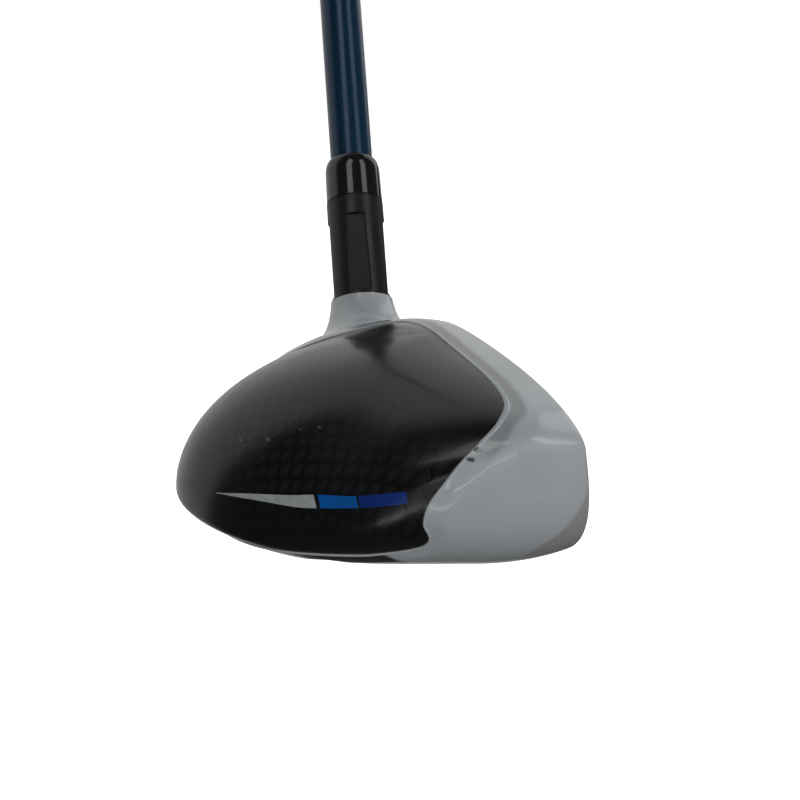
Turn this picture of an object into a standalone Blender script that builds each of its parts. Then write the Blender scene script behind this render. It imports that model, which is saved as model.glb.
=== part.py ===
"""Right-handed hybrid golf club with an adjustable loft sleeve, head 19 degrees.

Frame: +Z up, ground at z = 0 under the soled head, +Y from the face to the rear,
-X to the toe and +X to the heel, where the shaft leans.  Lengths are in metres.
Most turned pieces are described along the shaft axis by their height h above the
point where that axis meets the ground.
"""

import math

import bmesh
import bpy
from mathutils import Matrix, Vector

MM = 0.001
GAP = 0.3 * MM               # between neighbouring pieces of the head
FIT = 0.1 * MM               # between turned pieces that sit one in another

# ---- shaft axis ---------------------------------------------------------
LIE = math.radians(58.5)
AXIS_FOOT = Vector((28.8 * MM, -4.5 * MM, 0.0))
AXIS_DIRECTION = Vector((math.cos(LIE), 0.0, math.sin(LIE)))
CLUB_LENGTH = 1022.0 * MM

# ---- head shell ---------------------------------------------------------
LOFT = math.radians(19.0)
HEAD_CENTRE_X = 0.3 * MM
CROWN_TOP = 35.8 * MM
SOLE_DEPTH = 0.4 * MM        # the rounded sole would reach this far below its flat land
# distance from the head centre to the outline, every 45 degrees, heel first
OUTLINE = [r * MM for r in (46.0, 40.0, 43.8, 37.8, 41.0, 42.8, 42.3, 44.0)]
GIRTH_HEEL, GIRTH_REAR, GIRTH_TOE = 12.0 * MM, 5.0 * MM, 29.0 * MM
CROWN_FULLNESS, CROWN_FULLNESS_HEEL, CROWN_POWER = 2.44, 1.6, 2.16
SOLE_FULLNESS, SOLE_FULLNESS_HEEL, SOLE_POWER = 2.6, 4.0, 2.7
BODY_WALL = 2.2 * MM
CROWN_WALL = 1.2 * MM

# ---- face ---------------------------------------------------------------
LEADING_EDGE_Y = -21.9 * MM
FACE_BULGE = 280.0 * MM
FACE_ROLL = 300.0 * MM
FACE_MIDDLE_Z = 17.0 * MM
FACE_PLATE = 2.0 * MM
FACE_LEDGE = 1.6 * MM
FACE_RIM = 3.2 * MM          # width of body left around the face insert
FACE_HEEL_END = 22.0 * MM    # the insert stops here, short of the hosel
GROOVE_PITCH, GROOVE_WIDTH, GROOVE_DEPTH = 3.6 * MM, 0.8 * MM, 0.4 * MM
GROOVE_HALF_LENGTH, GROOVE_MIDDLE_X = 19.0 * MM, -2.0 * MM
GROOVE_COUNT = 7
GROOVE_FIRST_Z = 8.0 * MM

# ---- edge between the crown shell and the body, seen from the toe: (y, z) --
CROWN_EDGE = [(y * MM, z * MM) for y, z in (
    (0.8, 60.0), (0.8, 36.8), (1.7, 34.6), (4.9, 32.7), (8.8, 29.8),
    (11.9, 26.2), (14.0, 22.0), (15.5, 18.0), (15.4, 14.2), (13.8, 10.6))]
CROWN_SKIRT = [(y * MM, z * MM) for y, z in ((20.3, 7.3), (29.4, 5.2), (38.5, 3.0), (62.0, -2.6))]
HOSEL_APRON = 30.0 * MM      # body kept around the shaft axis where the crown shell stops

# ---- sole fittings: centre (x, y), half length and half width -----------------
SLOT_CENTRE, SLOT_HALF_LENGTH, SLOT_HALF_WIDTH = (-4.0 * MM, -8.4 * MM), 21.0 * MM, 1.6 * MM
INLAY_CENTRE, INLAY_HALF_LENGTH, INLAY_HALF_WIDTH = (-6.0 * MM, 22.0 * MM), 18.0 * MM, 5.0 * MM
INLAY_RECESS, INLAY_SINK, INLAY_THICKNESS = 1.1 * MM, 0.1 * MM, 0.7 * MM
PAD_PLACE = (-6.0 * MM, 8.0 * MM, 3.4 * MM)
PAD_FOOT_RADIUS, PAD_TOP_RADIUS, PAD_HEIGHT = 9.0 * MM, 7.0 * MM, 5.0 * MM

# ---- hosel and its pieces, heights along the shaft axis ---------------------
HOSEL_TOP = 36.2 * MM
HOSEL_RADIUS = 6.45 * MM
HOSEL_BORE = 5.55 * MM
HOSEL_CORE = 6.9 * MM        # tube inside the head
HOSEL_ROOT = 15.5 * MM       # height of the round end's centre
FLARE_TOP, FLARE_WIDTH = 33.0 * MM, 1.4 * MM
SCREW_POCKET = 5.0 * MM
SHELF_BOTTOM, SHELF_TOP = 13.2 * MM, 15.0 * MM
SHELF_HOLE = 2.8 * MM
SPLINE_TEETH = 12
SPLINE_TIP, SPLINE_ROOT = 4.1 * MM, 3.6 * MM
SPLINE_LAND, SPLINE_FLANK = 0.2, 0.36    # half widths at tip and root, in tooth pitches
SPLINE_TOP = 20.0 * MM
INSERT_WALL_INSIDE = 3.0 * MM
SLEEVE_FOOT = 15.9 * MM
SLEEVE_SHOULDER = 20.3 * MM
SLEEVE_TOP = 59.2 * MM
SLEEVE_COLLAR, SLEEVE_COLLAR_TAPER = 6.4 * MM, 0.15 * MM
WINDOW_COUNT = 4
WINDOW_TURN = math.radians(66.7)     # puts one window towards the toe and the rear
WINDOW_SIZE = (2.0 * MM, 4.4 * MM, 16.5 * MM)
WINDOW_DEPTH, WINDOW_MIDDLE = 0.4 * MM, 46.4 * MM
INSERT_RADIUS, INSERT_TOP = 3.0 * MM, 21.0 * MM
SCREW_RADIUS, HEAD_RADIUS, SCREW_CHAMFER = 2.45 * MM, 4.3 * MM, 0.4 * MM
SCREW_FOOT, SCREW_TIP = 8.0 * MM, 20.6 * MM
SOCKET_LOBES, SOCKET_TIP, SOCKET_ROOT, SOCKET_DEPTH = 6, 2.2 * MM, 1.6 * MM, 2.4 * MM
WASHER_THICKNESS, WASHER_RADIUS = 0.9 * MM, 4.5 * MM
RETAINER_RADIUS = 3.4 * MM
FERRULE_TOP, FERRULE_RADIUS, FERRULE_CROWN = 69.2 * MM, 6.1 * MM, 3.2 * MM
FERRULE_LIP = 0.15 * MM

# ---- shaft and grip -----------------------------------------------------
SHAFT_FOOT = 22.0 * MM
SHAFT_TIP_RADIUS = 4.7 * MM  # 0.370 inch tip
SHAFT_BUTT_RADIUS = 7.6 * MM
SHAFT_PARALLEL = 110.0 * MM  # height where the taper starts
SHAFT_WALL = 1.3 * MM
PLUG_LENGTH = 10.0 * MM
GRIP_LENGTH = 267.0 * MM
GRIP_MOUTH_WALL, GRIP_BUTT_WALL = 2.1 * MM, 5.0 * MM
TAPE_THICKNESS, TAPE_INSET = 0.25 * MM, 8.0 * MM
CAP_THICKNESS, CAP_SWELL, CAP_EDGE = 5.0 * MM, 0.4 * MM, 1.0 * MM
VENT_RADIUS = 1.5 * MM

# ---- mesh density and cutter sizes ------------------------------------------
ROUND = 40                   # sides of a turned piece
OUTER_GRID = (60, 11)        # columns and rows of the head's outer surface
INNER_GRID = (48, 9)         # the same for hidden surfaces
BEYOND = 80.0 * MM           # further from the head centre than any part of the head
COLOURS = {
    "white_paint": ((0.62, 0.65, 0.67), 0.22, 0.0),
    "black_crown": ((0.012, 0.013, 0.015), 0.28, 0.0),
    "steel": ((0.42, 0.42, 0.41), 0.35, 1.0),
    "dark_anodised": ((0.03, 0.03, 0.033), 0.4, 0.6),
    "gloss_black": ((0.01, 0.01, 0.011), 0.12, 0.0),
    "navy_shaft": ((0.008, 0.045, 0.09), 0.15, 0.0),
    "rubber": ((0.02, 0.02, 0.021), 0.7, 0.0),
    "polymer": ((0.03, 0.03, 0.035), 0.5, 0.0),
    "bronze": ((0.55, 0.42, 0.22), 0.35, 1.0),
    "hot_melt": ((0.75, 0.68, 0.45), 0.5, 0.0),
    "tape": ((0.72, 0.68, 0.55), 0.8, 0.0),
}


def clear_scene():
    for item in list(bpy.data.objects):
        bpy.data.objects.remove(item, do_unlink=True)


def material(name):
    found = bpy.data.materials.get(name)
    if found:
        return found
    colour, roughness, metallic = COLOURS[name]
    made = bpy.data.materials.new(name)
    made.use_nodes = True
    shader = made.node_tree.nodes["Principled BSDF"]
    shader.inputs["Base Color"].default_value = (*colour, 1.0)
    shader.inputs["Roughness"].default_value = roughness
    shader.inputs["Metallic"].default_value = metallic
    return made


def new_object(name, shape, finish=None, parent=None):
    """Turn a bmesh into a named object; an object with no finish is a cutter."""
    bmesh.ops.recalc_face_normals(shape, faces=shape.faces)
    mesh = bpy.data.meshes.new(name)
    shape.to_mesh(mesh)
    shape.free()
    item = bpy.data.objects.new(name, mesh)
    bpy.context.scene.collection.objects.link(item)
    item.parent = parent
    if finish is None:
        item.hide_render = True
        item.display_type = "WIRE"
    else:
        mesh.materials.append(material(finish))
        mesh.shade_smooth()
        mesh.set_sharp_from_angle(angle=math.radians(35))
    return item


def cut(item, operation, *tools):
    for tool in tools:
        boolean = item.modifiers.new(tool.name, "BOOLEAN")
        boolean.operation = operation
        boolean.solver = "EXACT"
        boolean.object = tool


# ---- the head's form ------------------------------------------------------

def smooth_step(value):
    value = min(max(value, 0.0), 1.0)
    return value * value * (3.0 - 2.0 * value)


def outline_radius(angle):
    """Smooth closed curve through the outline distances."""
    count = len(OUTLINE)
    place = (angle % math.tau) / math.tau * count
    first = int(place) % count
    t = place - int(place)
    before, start, end, after = (OUTLINE[(first + k) % count] for k in (-1, 0, 1, 2))
    slope_in, slope_out = (end - before) / 2.0, (after - start) / 2.0
    return ((2 * t**3 - 3 * t**2 + 1) * start + (t**3 - 2 * t**2 + t) * slope_in
            + (3 * t**2 - 2 * t**3) * end + (t**3 - t**2) * slope_out)


def girth_height(angle):
    """Height of the widest line: low at the rear, high at the toe."""
    toe = smooth_step(0.5 - 0.5 * math.cos(angle))
    side = GIRTH_HEEL + (GIRTH_TOE - GIRTH_HEEL) * toe
    rear = smooth_step(math.sin(angle))
    return side + (GIRTH_REAR - side) * rear


def head_form(inset, columns, rows):
    """Closed dome and bowl whose surface lies inset inside the head's outer surface."""
    shape = bmesh.new()
    top = CROWN_TOP - inset
    bottom = -SOLE_DEPTH + inset
    rings = []
    for row in range(1, 2 * rows):
        lift = (1.0 - row / rows) * math.pi / 2
        ring = []
        for column in range(columns):
            angle = math.tau * column / columns
            widest = girth_height(angle)
            if lift >= 0:
                heel = smooth_step(1.2 * math.cos(angle - math.pi / 4))
                fullness = CROWN_FULLNESS + (CROWN_FULLNESS_HEEL - CROWN_FULLNESS) * heel
                reach = math.cos(lift) ** (2 / fullness)
                z = widest + (top - widest) * math.sin(lift) ** (2 / CROWN_POWER)
            else:
                heel = smooth_step(math.cos(angle))
                fullness = SOLE_FULLNESS + (SOLE_FULLNESS_HEEL - SOLE_FULLNESS) * heel
                reach = math.cos(lift) ** (2 / fullness)
                z = widest - (widest - bottom) * math.sin(-lift) ** (2 / SOLE_POWER)
            radius = (outline_radius(angle) - inset) * reach
            x = HEAD_CENTRE_X + radius * math.cos(angle)
            ring.append(shape.verts.new((x, radius * math.sin(angle), z)))
        rings.append(ring)
    for upper, lower in zip(rings, rings[1:]):
        for k in range(columns):
            after = (k + 1) % columns
            shape.faces.new((upper[k], lower[k], lower[after], upper[after]))
    for ring, z in ((rings[0], top), (rings[-1], bottom)):
        pole = shape.verts.new((HEAD_CENTRE_X, 0.0, z))
        for k in range(columns):
            shape.faces.new((pole, ring[k], ring[(k + 1) % columns]))
    return shape


def face_y(x, z):
    """The lofted, slightly bulged face surface."""
    return (LEADING_EDGE_Y + z * math.tan(LOFT) + x * x / (2 * FACE_BULGE)
            + (z - FACE_MIDDLE_Z) ** 2 / (2 * FACE_ROLL))


def face_slab(x_range, z_range, y_range, columns=16, rows=12):
    """Slab that follows the face, from one depth behind it to another."""
    shape = bmesh.new()
    sides = []
    for depth in y_range:
        grid = []
        for column in range(columns + 1):
            x = x_range[0] + (x_range[1] - x_range[0]) * column / columns
            line = []
            for row in range(rows + 1):
                z = z_range[0] + (z_range[1] - z_range[0]) * row / rows
                line.append(shape.verts.new((x, face_y(x, z) + depth, z)))
            grid.append(line)
        sides.append(grid)
    near, far = sides
    for column in range(columns):
        for row in range(rows):
            for grid in sides:
                shape.faces.new((grid[column][row], grid[column + 1][row],
                                 grid[column + 1][row + 1], grid[column][row + 1]))
    for row in range(rows):
        for column in (0, columns):
            shape.faces.new((near[column][row], near[column][row + 1],
                             far[column][row + 1], far[column][row]))
    for column in range(columns):
        for row in (0, rows):
            shape.faces.new((near[column][row], near[column + 1][row],
                             far[column + 1][row], far[column][row]))
    return shape


def spline(points, steps):
    """Points on a smooth curve through the given points."""
    padded = [points[0], *points, points[-1]]
    curve = []
    for before, start, end, after in zip(padded, padded[1:], padded[2:], padded[3:]):
        for step in range(steps):
            t = step / steps
            curve.append(tuple(
                0.5 * (2 * b + (c - a) * t + (2 * a - 5 * b + 4 * c - d) * t**2
                       + (3 * b - a - 3 * c + d) * t**3)
                for a, b, c, d in zip(before, start, end, after)))
    curve.append(points[-1])
    return curve


def extruded(outline, offset, length, axis):
    """Prism on a flat outline: axis X takes (y, z) points, axis Z takes (x, y) points."""
    shape = bmesh.new()
    if axis == "X":
        corners = [shape.verts.new((offset, a, b)) for a, b in outline]
        direction = Vector((length, 0, 0))
    else:
        corners = [shape.verts.new((a, b, offset)) for a, b in outline]
        direction = Vector((0, 0, length))
    floor = shape.faces.new(corners)
    swept = bmesh.ops.extrude_face_region(shape, geom=[floor])
    moved = [item for item in swept["geom"] if isinstance(item, bmesh.types.BMVert)]
    bmesh.ops.translate(shape, verts=moved, vec=direction)
    return shape


def crown_region(shrink):
    """Everything behind the crown edge and above the skirt edge, pulled in by shrink."""
    edge = spline(CROWN_EDGE[1:], 4)
    edge = [CROWN_EDGE[0]] + [(y + shrink, z + shrink * 0.3) for y, z in edge]
    edge[0] = (edge[0][0] + shrink, edge[0][1])
    skirt = [(y, z + shrink) for y, z in CROWN_SKIRT]
    rear = (CROWN_SKIRT[-1][0], CROWN_EDGE[0][1])
    return extruded(edge + skirt + [rear], -BEYOND, 2 * BEYOND, "X")


def stadium(centre, half_length, half_width, sides=8):
    """Slot outline along X with round ends, as (x, y) points."""
    points = []
    for end in (1, -1):
        for k in range(sides + 1):
            angle = math.pi * (k / sides - 0.5)
            points.append((centre[0] + end * (half_length - half_width + half_width * math.cos(angle)),
                           centre[1] + end * half_width * math.sin(angle)))
    return points


# ---- turned pieces on the shaft axis ------------------------------------------

def turned(profile, closed=True, sides=ROUND):
    """Spin a profile of (radius, height) points about local Z."""
    shape = bmesh.new()
    corners = [shape.verts.new((radius, 0, height)) for radius, height in profile]
    edges = [shape.edges.new(pair) for pair in zip(corners, corners[1:])]
    if closed:
        edges.append(shape.edges.new((corners[-1], corners[0])))
    bmesh.ops.spin(shape, geom=corners + edges, cent=(0, 0, 0), axis=(0, 0, 1),
                   angle=math.tau, steps=sides, use_merge=True)
    bmesh.ops.remove_doubles(shape, verts=shape.verts, dist=1e-6)
    return shape


def splined_prism(tip, root, low, high):
    """Toothed bar, standing from one height to another."""
    outline = []
    step = math.tau / SPLINE_TEETH
    for tooth in range(SPLINE_TEETH):
        middle = tooth * step
        for turn, radius in ((-SPLINE_FLANK, root), (-SPLINE_LAND, tip),
                             (SPLINE_LAND, tip), (SPLINE_FLANK, root)):
            angle = middle + turn * step
            outline.append((radius * math.cos(angle), radius * math.sin(angle)))
    return extruded(outline, low, high - low, "Z")


def shaft_radius(height):
    share = (height - SHAFT_PARALLEL) / (CLUB_LENGTH - SHAFT_PARALLEL)
    return SHAFT_TIP_RADIUS + (SHAFT_BUTT_RADIUS - SHAFT_TIP_RADIUS) * max(share, 0.0)


def sleeve_over_shaft(low, high, inner_gap, low_wall, high_wall, steps=1):
    """Closed profile of a layer on the shaft between two heights."""
    heights = [low + (high - low) * k / steps for k in range(steps + 1)]
    inner = [(shaft_radius(h) + inner_gap, h) for h in heights]
    outer = [(shaft_radius(h) + inner_gap + low_wall + (high_wall - low_wall)
              * (h - low) / (high - low), h) for h in heights]
    return inner + outer[::-1]


def make_axis(name, parent=None):
    empty = bpy.data.objects.new(name, None)
    bpy.context.scene.collection.objects.link(empty)
    empty.parent = parent
    if parent is None:
        turn = AXIS_DIRECTION.to_track_quat("Z", "Y").to_matrix().to_4x4()
        empty.matrix_world = Matrix.Translation(AXIS_FOOT) @ turn
    return empty


def axis_cutter(name, radius, axis, low=-BEYOND):
    """Solid bar about the shaft axis, long enough to pass right through the head."""
    return new_object(name, turned([(0, low), (radius, low), (radius, BEYOND), (0, BEYOND)],
                                   closed=False), parent=axis)


def ground_cutter(name, top):
    """Block that removes everything below a height."""
    corners = [(-BEYOND, -BEYOND), (BEYOND, -BEYOND), (BEYOND, BEYOND), (-BEYOND, BEYOND)]
    return new_object(name, extruded(corners, top - BEYOND, BEYOND, "Z"))


def sole_bar(centre, half_length, half_width):
    """Upright bar with round ends that stands through the sole."""
    return extruded(stadium(centre, half_length, half_width), -5 * MM, 17 * MM, "Z")


def hosel_profile():
    """Outside of the hosel: a round end in the heel, a flare through the crown, a straight neck."""
    profile = []
    for k in range(6):
        angle = math.pi / 2 * k / 6
        profile.append((HOSEL_CORE * math.sin(angle), HOSEL_ROOT - HOSEL_CORE * math.cos(angle)))
    profile.append((HOSEL_CORE, HOSEL_ROOT))
    for k in range(1, 9):
        share = k / 8
        straight = HOSEL_CORE + (HOSEL_RADIUS - HOSEL_CORE) * share
        swell = FLARE_WIDTH * math.sin(math.pi * share) ** 2
        profile.append((straight + swell, HOSEL_ROOT + (FLARE_TOP - HOSEL_ROOT) * share))
    profile += [(HOSEL_RADIUS, HOSEL_TOP), (0, HOSEL_TOP)]
    return profile


# ---- head pieces ------------------------------------------------------------

def build_body(axis):
    body = new_object("head_body", head_form(0.0, *OUTER_GRID), "white_paint")
    tube = new_object("cut_hosel_tube", turned(hosel_profile(), closed=False), parent=axis)
    full_x, full_z = (-BEYOND, BEYOND), (-15 * MM, 60 * MM)
    face_front = new_object("cut_face_front", face_slab(full_x, full_z, (-BEYOND, 0.0)))

    cavity = new_object("cut_cavity", head_form(BODY_WALL, *INNER_GRID))
    cavity_front = new_object("cut_cavity_front", face_slab(
        full_x, full_z, (-BEYOND, FACE_PLATE + FACE_LEDGE)))
    core = axis_cutter("cut_hosel_core", HOSEL_CORE, axis)
    cut(cavity, "DIFFERENCE", cavity_front, core)

    crown_gap = new_object("cut_crown_gap", crown_region(0.0))
    cut(crown_gap, "DIFFERENCE", axis_cutter("cut_apron", HOSEL_APRON, axis))

    bore = new_object("cut_hosel_bore", turned(
        [(0, -BEYOND), (SCREW_POCKET, -BEYOND), (SCREW_POCKET, SHELF_BOTTOM),
         (SHELF_HOLE, SHELF_BOTTOM), (SHELF_HOLE, SHELF_TOP), (HOSEL_BORE, SHELF_TOP),
         (HOSEL_BORE, BEYOND), (0, BEYOND)], closed=False), parent=axis)

    face_window = new_object("cut_face_window", head_form(FACE_RIM - GAP, *INNER_GRID))
    cut(face_window, "INTERSECT", new_object("cut_window_slab", face_slab(
        (-BEYOND, FACE_HEEL_END + GAP), full_z, (-2 * MM, FACE_PLATE + GAP))))
    ledge_window = new_object("cut_ledge_window", head_form(FACE_RIM + FACE_LEDGE, *INNER_GRID))
    cut(ledge_window, "INTERSECT", new_object("cut_ledge_slab", face_slab(
        (-BEYOND, FACE_HEEL_END - FACE_LEDGE), full_z,
        (-2 * MM, FACE_PLATE + 2 * FACE_LEDGE))))

    slot = new_object("cut_slot", sole_bar(SLOT_CENTRE, SLOT_HALF_LENGTH, SLOT_HALF_WIDTH))
    recess = new_object("cut_inlay_recess", sole_bar(
        INLAY_CENTRE, INLAY_HALF_LENGTH, INLAY_HALF_WIDTH))
    cut(recess, "DIFFERENCE",
        new_object("cut_inlay_floor", head_form(INLAY_RECESS, *OUTER_GRID)))

    cut(body, "DIFFERENCE", face_front)
    cut(body, "UNION", tube)
    cut(body, "DIFFERENCE", ground_cutter("cut_ground", 0.0), cavity, crown_gap, face_window,
        ledge_window, bore, slot, recess)


def build_crown(axis):
    crown = new_object("crown_shell", head_form(0.0, *OUTER_GRID), "black_crown")
    inside = new_object("cut_crown_inside", head_form(CROWN_WALL, *OUTER_GRID))
    cut(crown, "INTERSECT", new_object("cut_crown_keep", crown_region(GAP)))
    cut(crown, "DIFFERENCE", inside, axis_cutter("cut_apron_gap", HOSEL_APRON + GAP, axis))


def build_face_insert():
    plate = new_object("face_insert", head_form(FACE_RIM, *OUTER_GRID), "steel")
    cut(plate, "INTERSECT", new_object("cut_plate_slab", face_slab(
        (-BEYOND, FACE_HEEL_END), (-15 * MM, 60 * MM), (0.0, FACE_PLATE))))
    ends = (GROOVE_MIDDLE_X - GROOVE_HALF_LENGTH, GROOVE_MIDDLE_X + GROOVE_HALF_LENGTH)
    for line in range(GROOVE_COUNT):
        z = GROOVE_FIRST_Z + line * GROOVE_PITCH
        cut(plate, "DIFFERENCE", new_object(f"cut_groove_{line + 1}", face_slab(
            ends, (z, z + GROOVE_WIDTH), (-MM, GROOVE_DEPTH), columns=8, rows=1)))


def build_sole_fittings():
    """Filler of the front slot and the long inlay behind it."""
    filler = new_object("slot_insert", sole_bar(
        SLOT_CENTRE, SLOT_HALF_LENGTH - GAP, SLOT_HALF_WIDTH - GAP), "polymer")
    cut(filler, "INTERSECT", new_object("cut_filler_outside", head_form(GAP, *OUTER_GRID)))
    cut(filler, "DIFFERENCE",
        new_object("cut_filler_inside", head_form(BODY_WALL, *INNER_GRID)),
        ground_cutter("cut_filler_ground", GAP))

    inlay = new_object("sole_inlay", sole_bar(
        INLAY_CENTRE, INLAY_HALF_LENGTH - GAP, INLAY_HALF_WIDTH - GAP), "polymer")
    cut(inlay, "INTERSECT", new_object("cut_inlay_outside", head_form(INLAY_SINK, *OUTER_GRID)))
    cut(inlay, "DIFFERENCE", new_object(
        "cut_inlay_inside", head_form(INLAY_SINK + INLAY_THICKNESS, *OUTER_GRID)))


def build_acoustic_pad():
    shape = bmesh.new()
    bmesh.ops.create_cone(shape, cap_ends=True, segments=24, radius1=PAD_FOOT_RADIUS,
                          radius2=PAD_TOP_RADIUS, depth=PAD_HEIGHT)
    bmesh.ops.translate(shape, verts=shape.verts, vec=PAD_PLACE)
    pad = new_object("acoustic_pad", shape, "hot_melt")
    cut(pad, "INTERSECT",
        new_object("cut_pad_inside", head_form(BODY_WALL + GAP, *INNER_GRID)))


# ---- hosel, sleeve and screw ----------------------------------------------------

def build_hosel_insert(axis):
    """Ring with internal teeth that the sleeve's foot drops into."""
    low, high = SHELF_TOP + FIT, SPLINE_TOP
    outside, inside = HOSEL_BORE - FIT, INSERT_WALL_INSIDE
    insert = new_object("hosel_insert", turned(
        [(inside, low), (outside, low), (outside, high), (inside, high)]), "steel", axis)
    teeth = new_object("cut_insert_teeth", splined_prism(
        SPLINE_TIP + FIT, SPLINE_ROOT + FIT, low - MM, high + MM), parent=axis)
    cut(insert, "DIFFERENCE", teeth)


def build_sleeve(axis):
    """Aluminium loft sleeve: toothed foot, hidden barrel and exposed collar with relief windows."""
    barrel = HOSEL_BORE - FIT
    collar_foot = HOSEL_TOP + FIT
    sleeve = new_object("loft_sleeve", turned(
        [(0.0, SLEEVE_SHOULDER), (barrel, SLEEVE_SHOULDER), (barrel, collar_foot),
         (SLEEVE_COLLAR, collar_foot), (SLEEVE_COLLAR - SLEEVE_COLLAR_TAPER, SLEEVE_TOP),
         (0.0, SLEEVE_TOP)], closed=False), "dark_anodised", axis)
    teeth = new_object("cut_sleeve_teeth", splined_prism(
        SPLINE_TIP, SPLINE_ROOT, SLEEVE_FOOT, SLEEVE_SHOULDER + MM), parent=axis)
    seat = SHAFT_FOOT - FIT
    socket = SHAFT_TIP_RADIUS + FIT
    bore = new_object("cut_sleeve_bore", turned(
        [(0, SLEEVE_FOOT - MM), (INSERT_RADIUS + FIT, SLEEVE_FOOT - MM),
         (INSERT_RADIUS + FIT, INSERT_TOP + FIT), (SHELF_HOLE, INSERT_TOP + FIT),
         (SHELF_HOLE, seat), (socket, seat), (socket, SLEEVE_TOP + MM), (0, SLEEVE_TOP + MM)],
        closed=False), parent=axis)
    cut(sleeve, "UNION", teeth)
    cut(sleeve, "DIFFERENCE", bore)
    for k in range(WINDOW_COUNT):
        shape = bmesh.new()
        bmesh.ops.create_cube(shape, size=1.0)
        bmesh.ops.scale(shape, verts=shape.verts, vec=WINDOW_SIZE)
        bmesh.ops.translate(shape, verts=shape.verts, vec=(
            SLEEVE_COLLAR + WINDOW_SIZE[0] / 2 - WINDOW_DEPTH, 0, WINDOW_MIDDLE))
        bmesh.ops.rotate(shape, verts=shape.verts, cent=(0, 0, 0),
                         matrix=Matrix.Rotation(WINDOW_TURN + math.tau / WINDOW_COUNT * k, 3, "Z"))
        window = new_object(f"cut_sleeve_window_{k + 1}", shape, parent=axis)
        cut(sleeve, "DIFFERENCE", window)
    new_object("sleeve_thread_insert", turned(
        [(SCREW_RADIUS + FIT, SLEEVE_FOOT + FIT), (INSERT_RADIUS, SLEEVE_FOOT + FIT),
         (INSERT_RADIUS, INSERT_TOP), (SCREW_RADIUS + FIT, INSERT_TOP)]), "bronze", axis)


def build_screw(axis, screw_axis):
    """Captive screw that enters from the sole, its washer and its retaining ring."""
    low, high = SHELF_BOTTOM - FIT - WASHER_THICKNESS, SHELF_BOTTOM - FIT
    new_object("screw_washer", turned(
        [(SHELF_HOLE, low), (WASHER_RADIUS, low), (WASHER_RADIUS, high), (SHELF_HOLE, high)]),
        "steel", axis)

    head_top = low - FIT
    screw = new_object("hosel_screw", turned(
        [(0, SCREW_FOOT), (HEAD_RADIUS - SCREW_CHAMFER, SCREW_FOOT),
         (HEAD_RADIUS, SCREW_FOOT + SCREW_CHAMFER), (HEAD_RADIUS, head_top),
         (SCREW_RADIUS, head_top), (SCREW_RADIUS, SCREW_TIP - SCREW_CHAMFER),
         (SCREW_RADIUS - SCREW_CHAMFER, SCREW_TIP), (0, SCREW_TIP)],
        closed=False), "steel", screw_axis)
    star = []
    for k in range(2 * SOCKET_LOBES):
        radius = SOCKET_TIP if k % 2 else SOCKET_ROOT
        angle = math.pi * k / SOCKET_LOBES
        star.append((radius * math.cos(angle), radius * math.sin(angle)))
    socket = new_object("cut_screw_socket", extruded(
        star, SCREW_FOOT - MM, MM + SOCKET_DEPTH, "Z"), parent=screw_axis)
    cut(screw, "DIFFERENCE", socket)

    ring_low, ring_high = SHELF_TOP + FIT, SLEEVE_FOOT - 2 * FIT
    ring_inside = SCREW_RADIUS + FIT
    new_object("screw_retainer", turned(
        [(ring_inside, ring_low), (RETAINER_RADIUS, ring_low), (RETAINER_RADIUS, ring_high),
         (ring_inside, ring_high)]), "polymer", screw_axis)


def build_ferrule(axis):
    bore = SHAFT_TIP_RADIUS + FIT
    lip = bore + FERRULE_LIP
    shoulder = FERRULE_TOP - FERRULE_CROWN
    profile = [(bore, SLEEVE_TOP + FIT), (FERRULE_RADIUS + FIT, SLEEVE_TOP + FIT)]
    steps = 6
    for k in range(steps + 1):
        angle = math.pi / 2 * k / steps
        profile.append((lip + (FERRULE_RADIUS - lip) * math.cos(angle),
                        shoulder + FERRULE_CROWN * math.sin(angle)))
    profile.append((bore, FERRULE_TOP))
    new_object("ferrule", turned(profile), "gloss_black", axis)


# ---- shaft and grip ---------------------------------------------------------------

def build_shaft(axis):
    shaft_end = CLUB_LENGTH - CAP_THICKNESS - GAP
    heights = [SHAFT_FOOT, SHAFT_PARALLEL, 0.5 * CLUB_LENGTH, shaft_end]
    outer = [(shaft_radius(h), h) for h in heights]
    inner = [(shaft_radius(h) - SHAFT_WALL, h) for h in heights]
    new_object("shaft", turned(inner + outer[::-1]), "navy_shaft", axis)

    plug_radius = SHAFT_TIP_RADIUS - SHAFT_WALL - FIT
    plug_low = SHAFT_FOOT + GAP
    new_object("tip_plug", turned(
        [(0, plug_low), (plug_radius, plug_low), (plug_radius, plug_low + PLUG_LENGTH),
         (0, plug_low + PLUG_LENGTH)], closed=False, sides=24), "bronze", axis)

    grip_low = CLUB_LENGTH - GRIP_LENGTH
    new_object("grip_tape", turned(sleeve_over_shaft(
        grip_low + TAPE_INSET, shaft_end, FIT, TAPE_THICKNESS, TAPE_THICKNESS)), "tape", axis)
    grip_gap = 2 * FIT + TAPE_THICKNESS
    profile = sleeve_over_shaft(grip_low, shaft_end, grip_gap, GRIP_MOUTH_WALL,
                                GRIP_BUTT_WALL, steps=4)
    new_object("grip", turned(profile), "rubber", axis)

    cap_radius = shaft_radius(shaft_end) + grip_gap + GRIP_BUTT_WALL
    new_object("grip_cap", turned(
        [(VENT_RADIUS, shaft_end + GAP), (cap_radius, shaft_end + GAP),
         (cap_radius + CAP_SWELL, shaft_end + CAP_EDGE), (cap_radius, CLUB_LENGTH - CAP_EDGE),
         (cap_radius - CAP_EDGE, CLUB_LENGTH), (VENT_RADIUS, CLUB_LENGTH)]), "rubber", axis)


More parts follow.
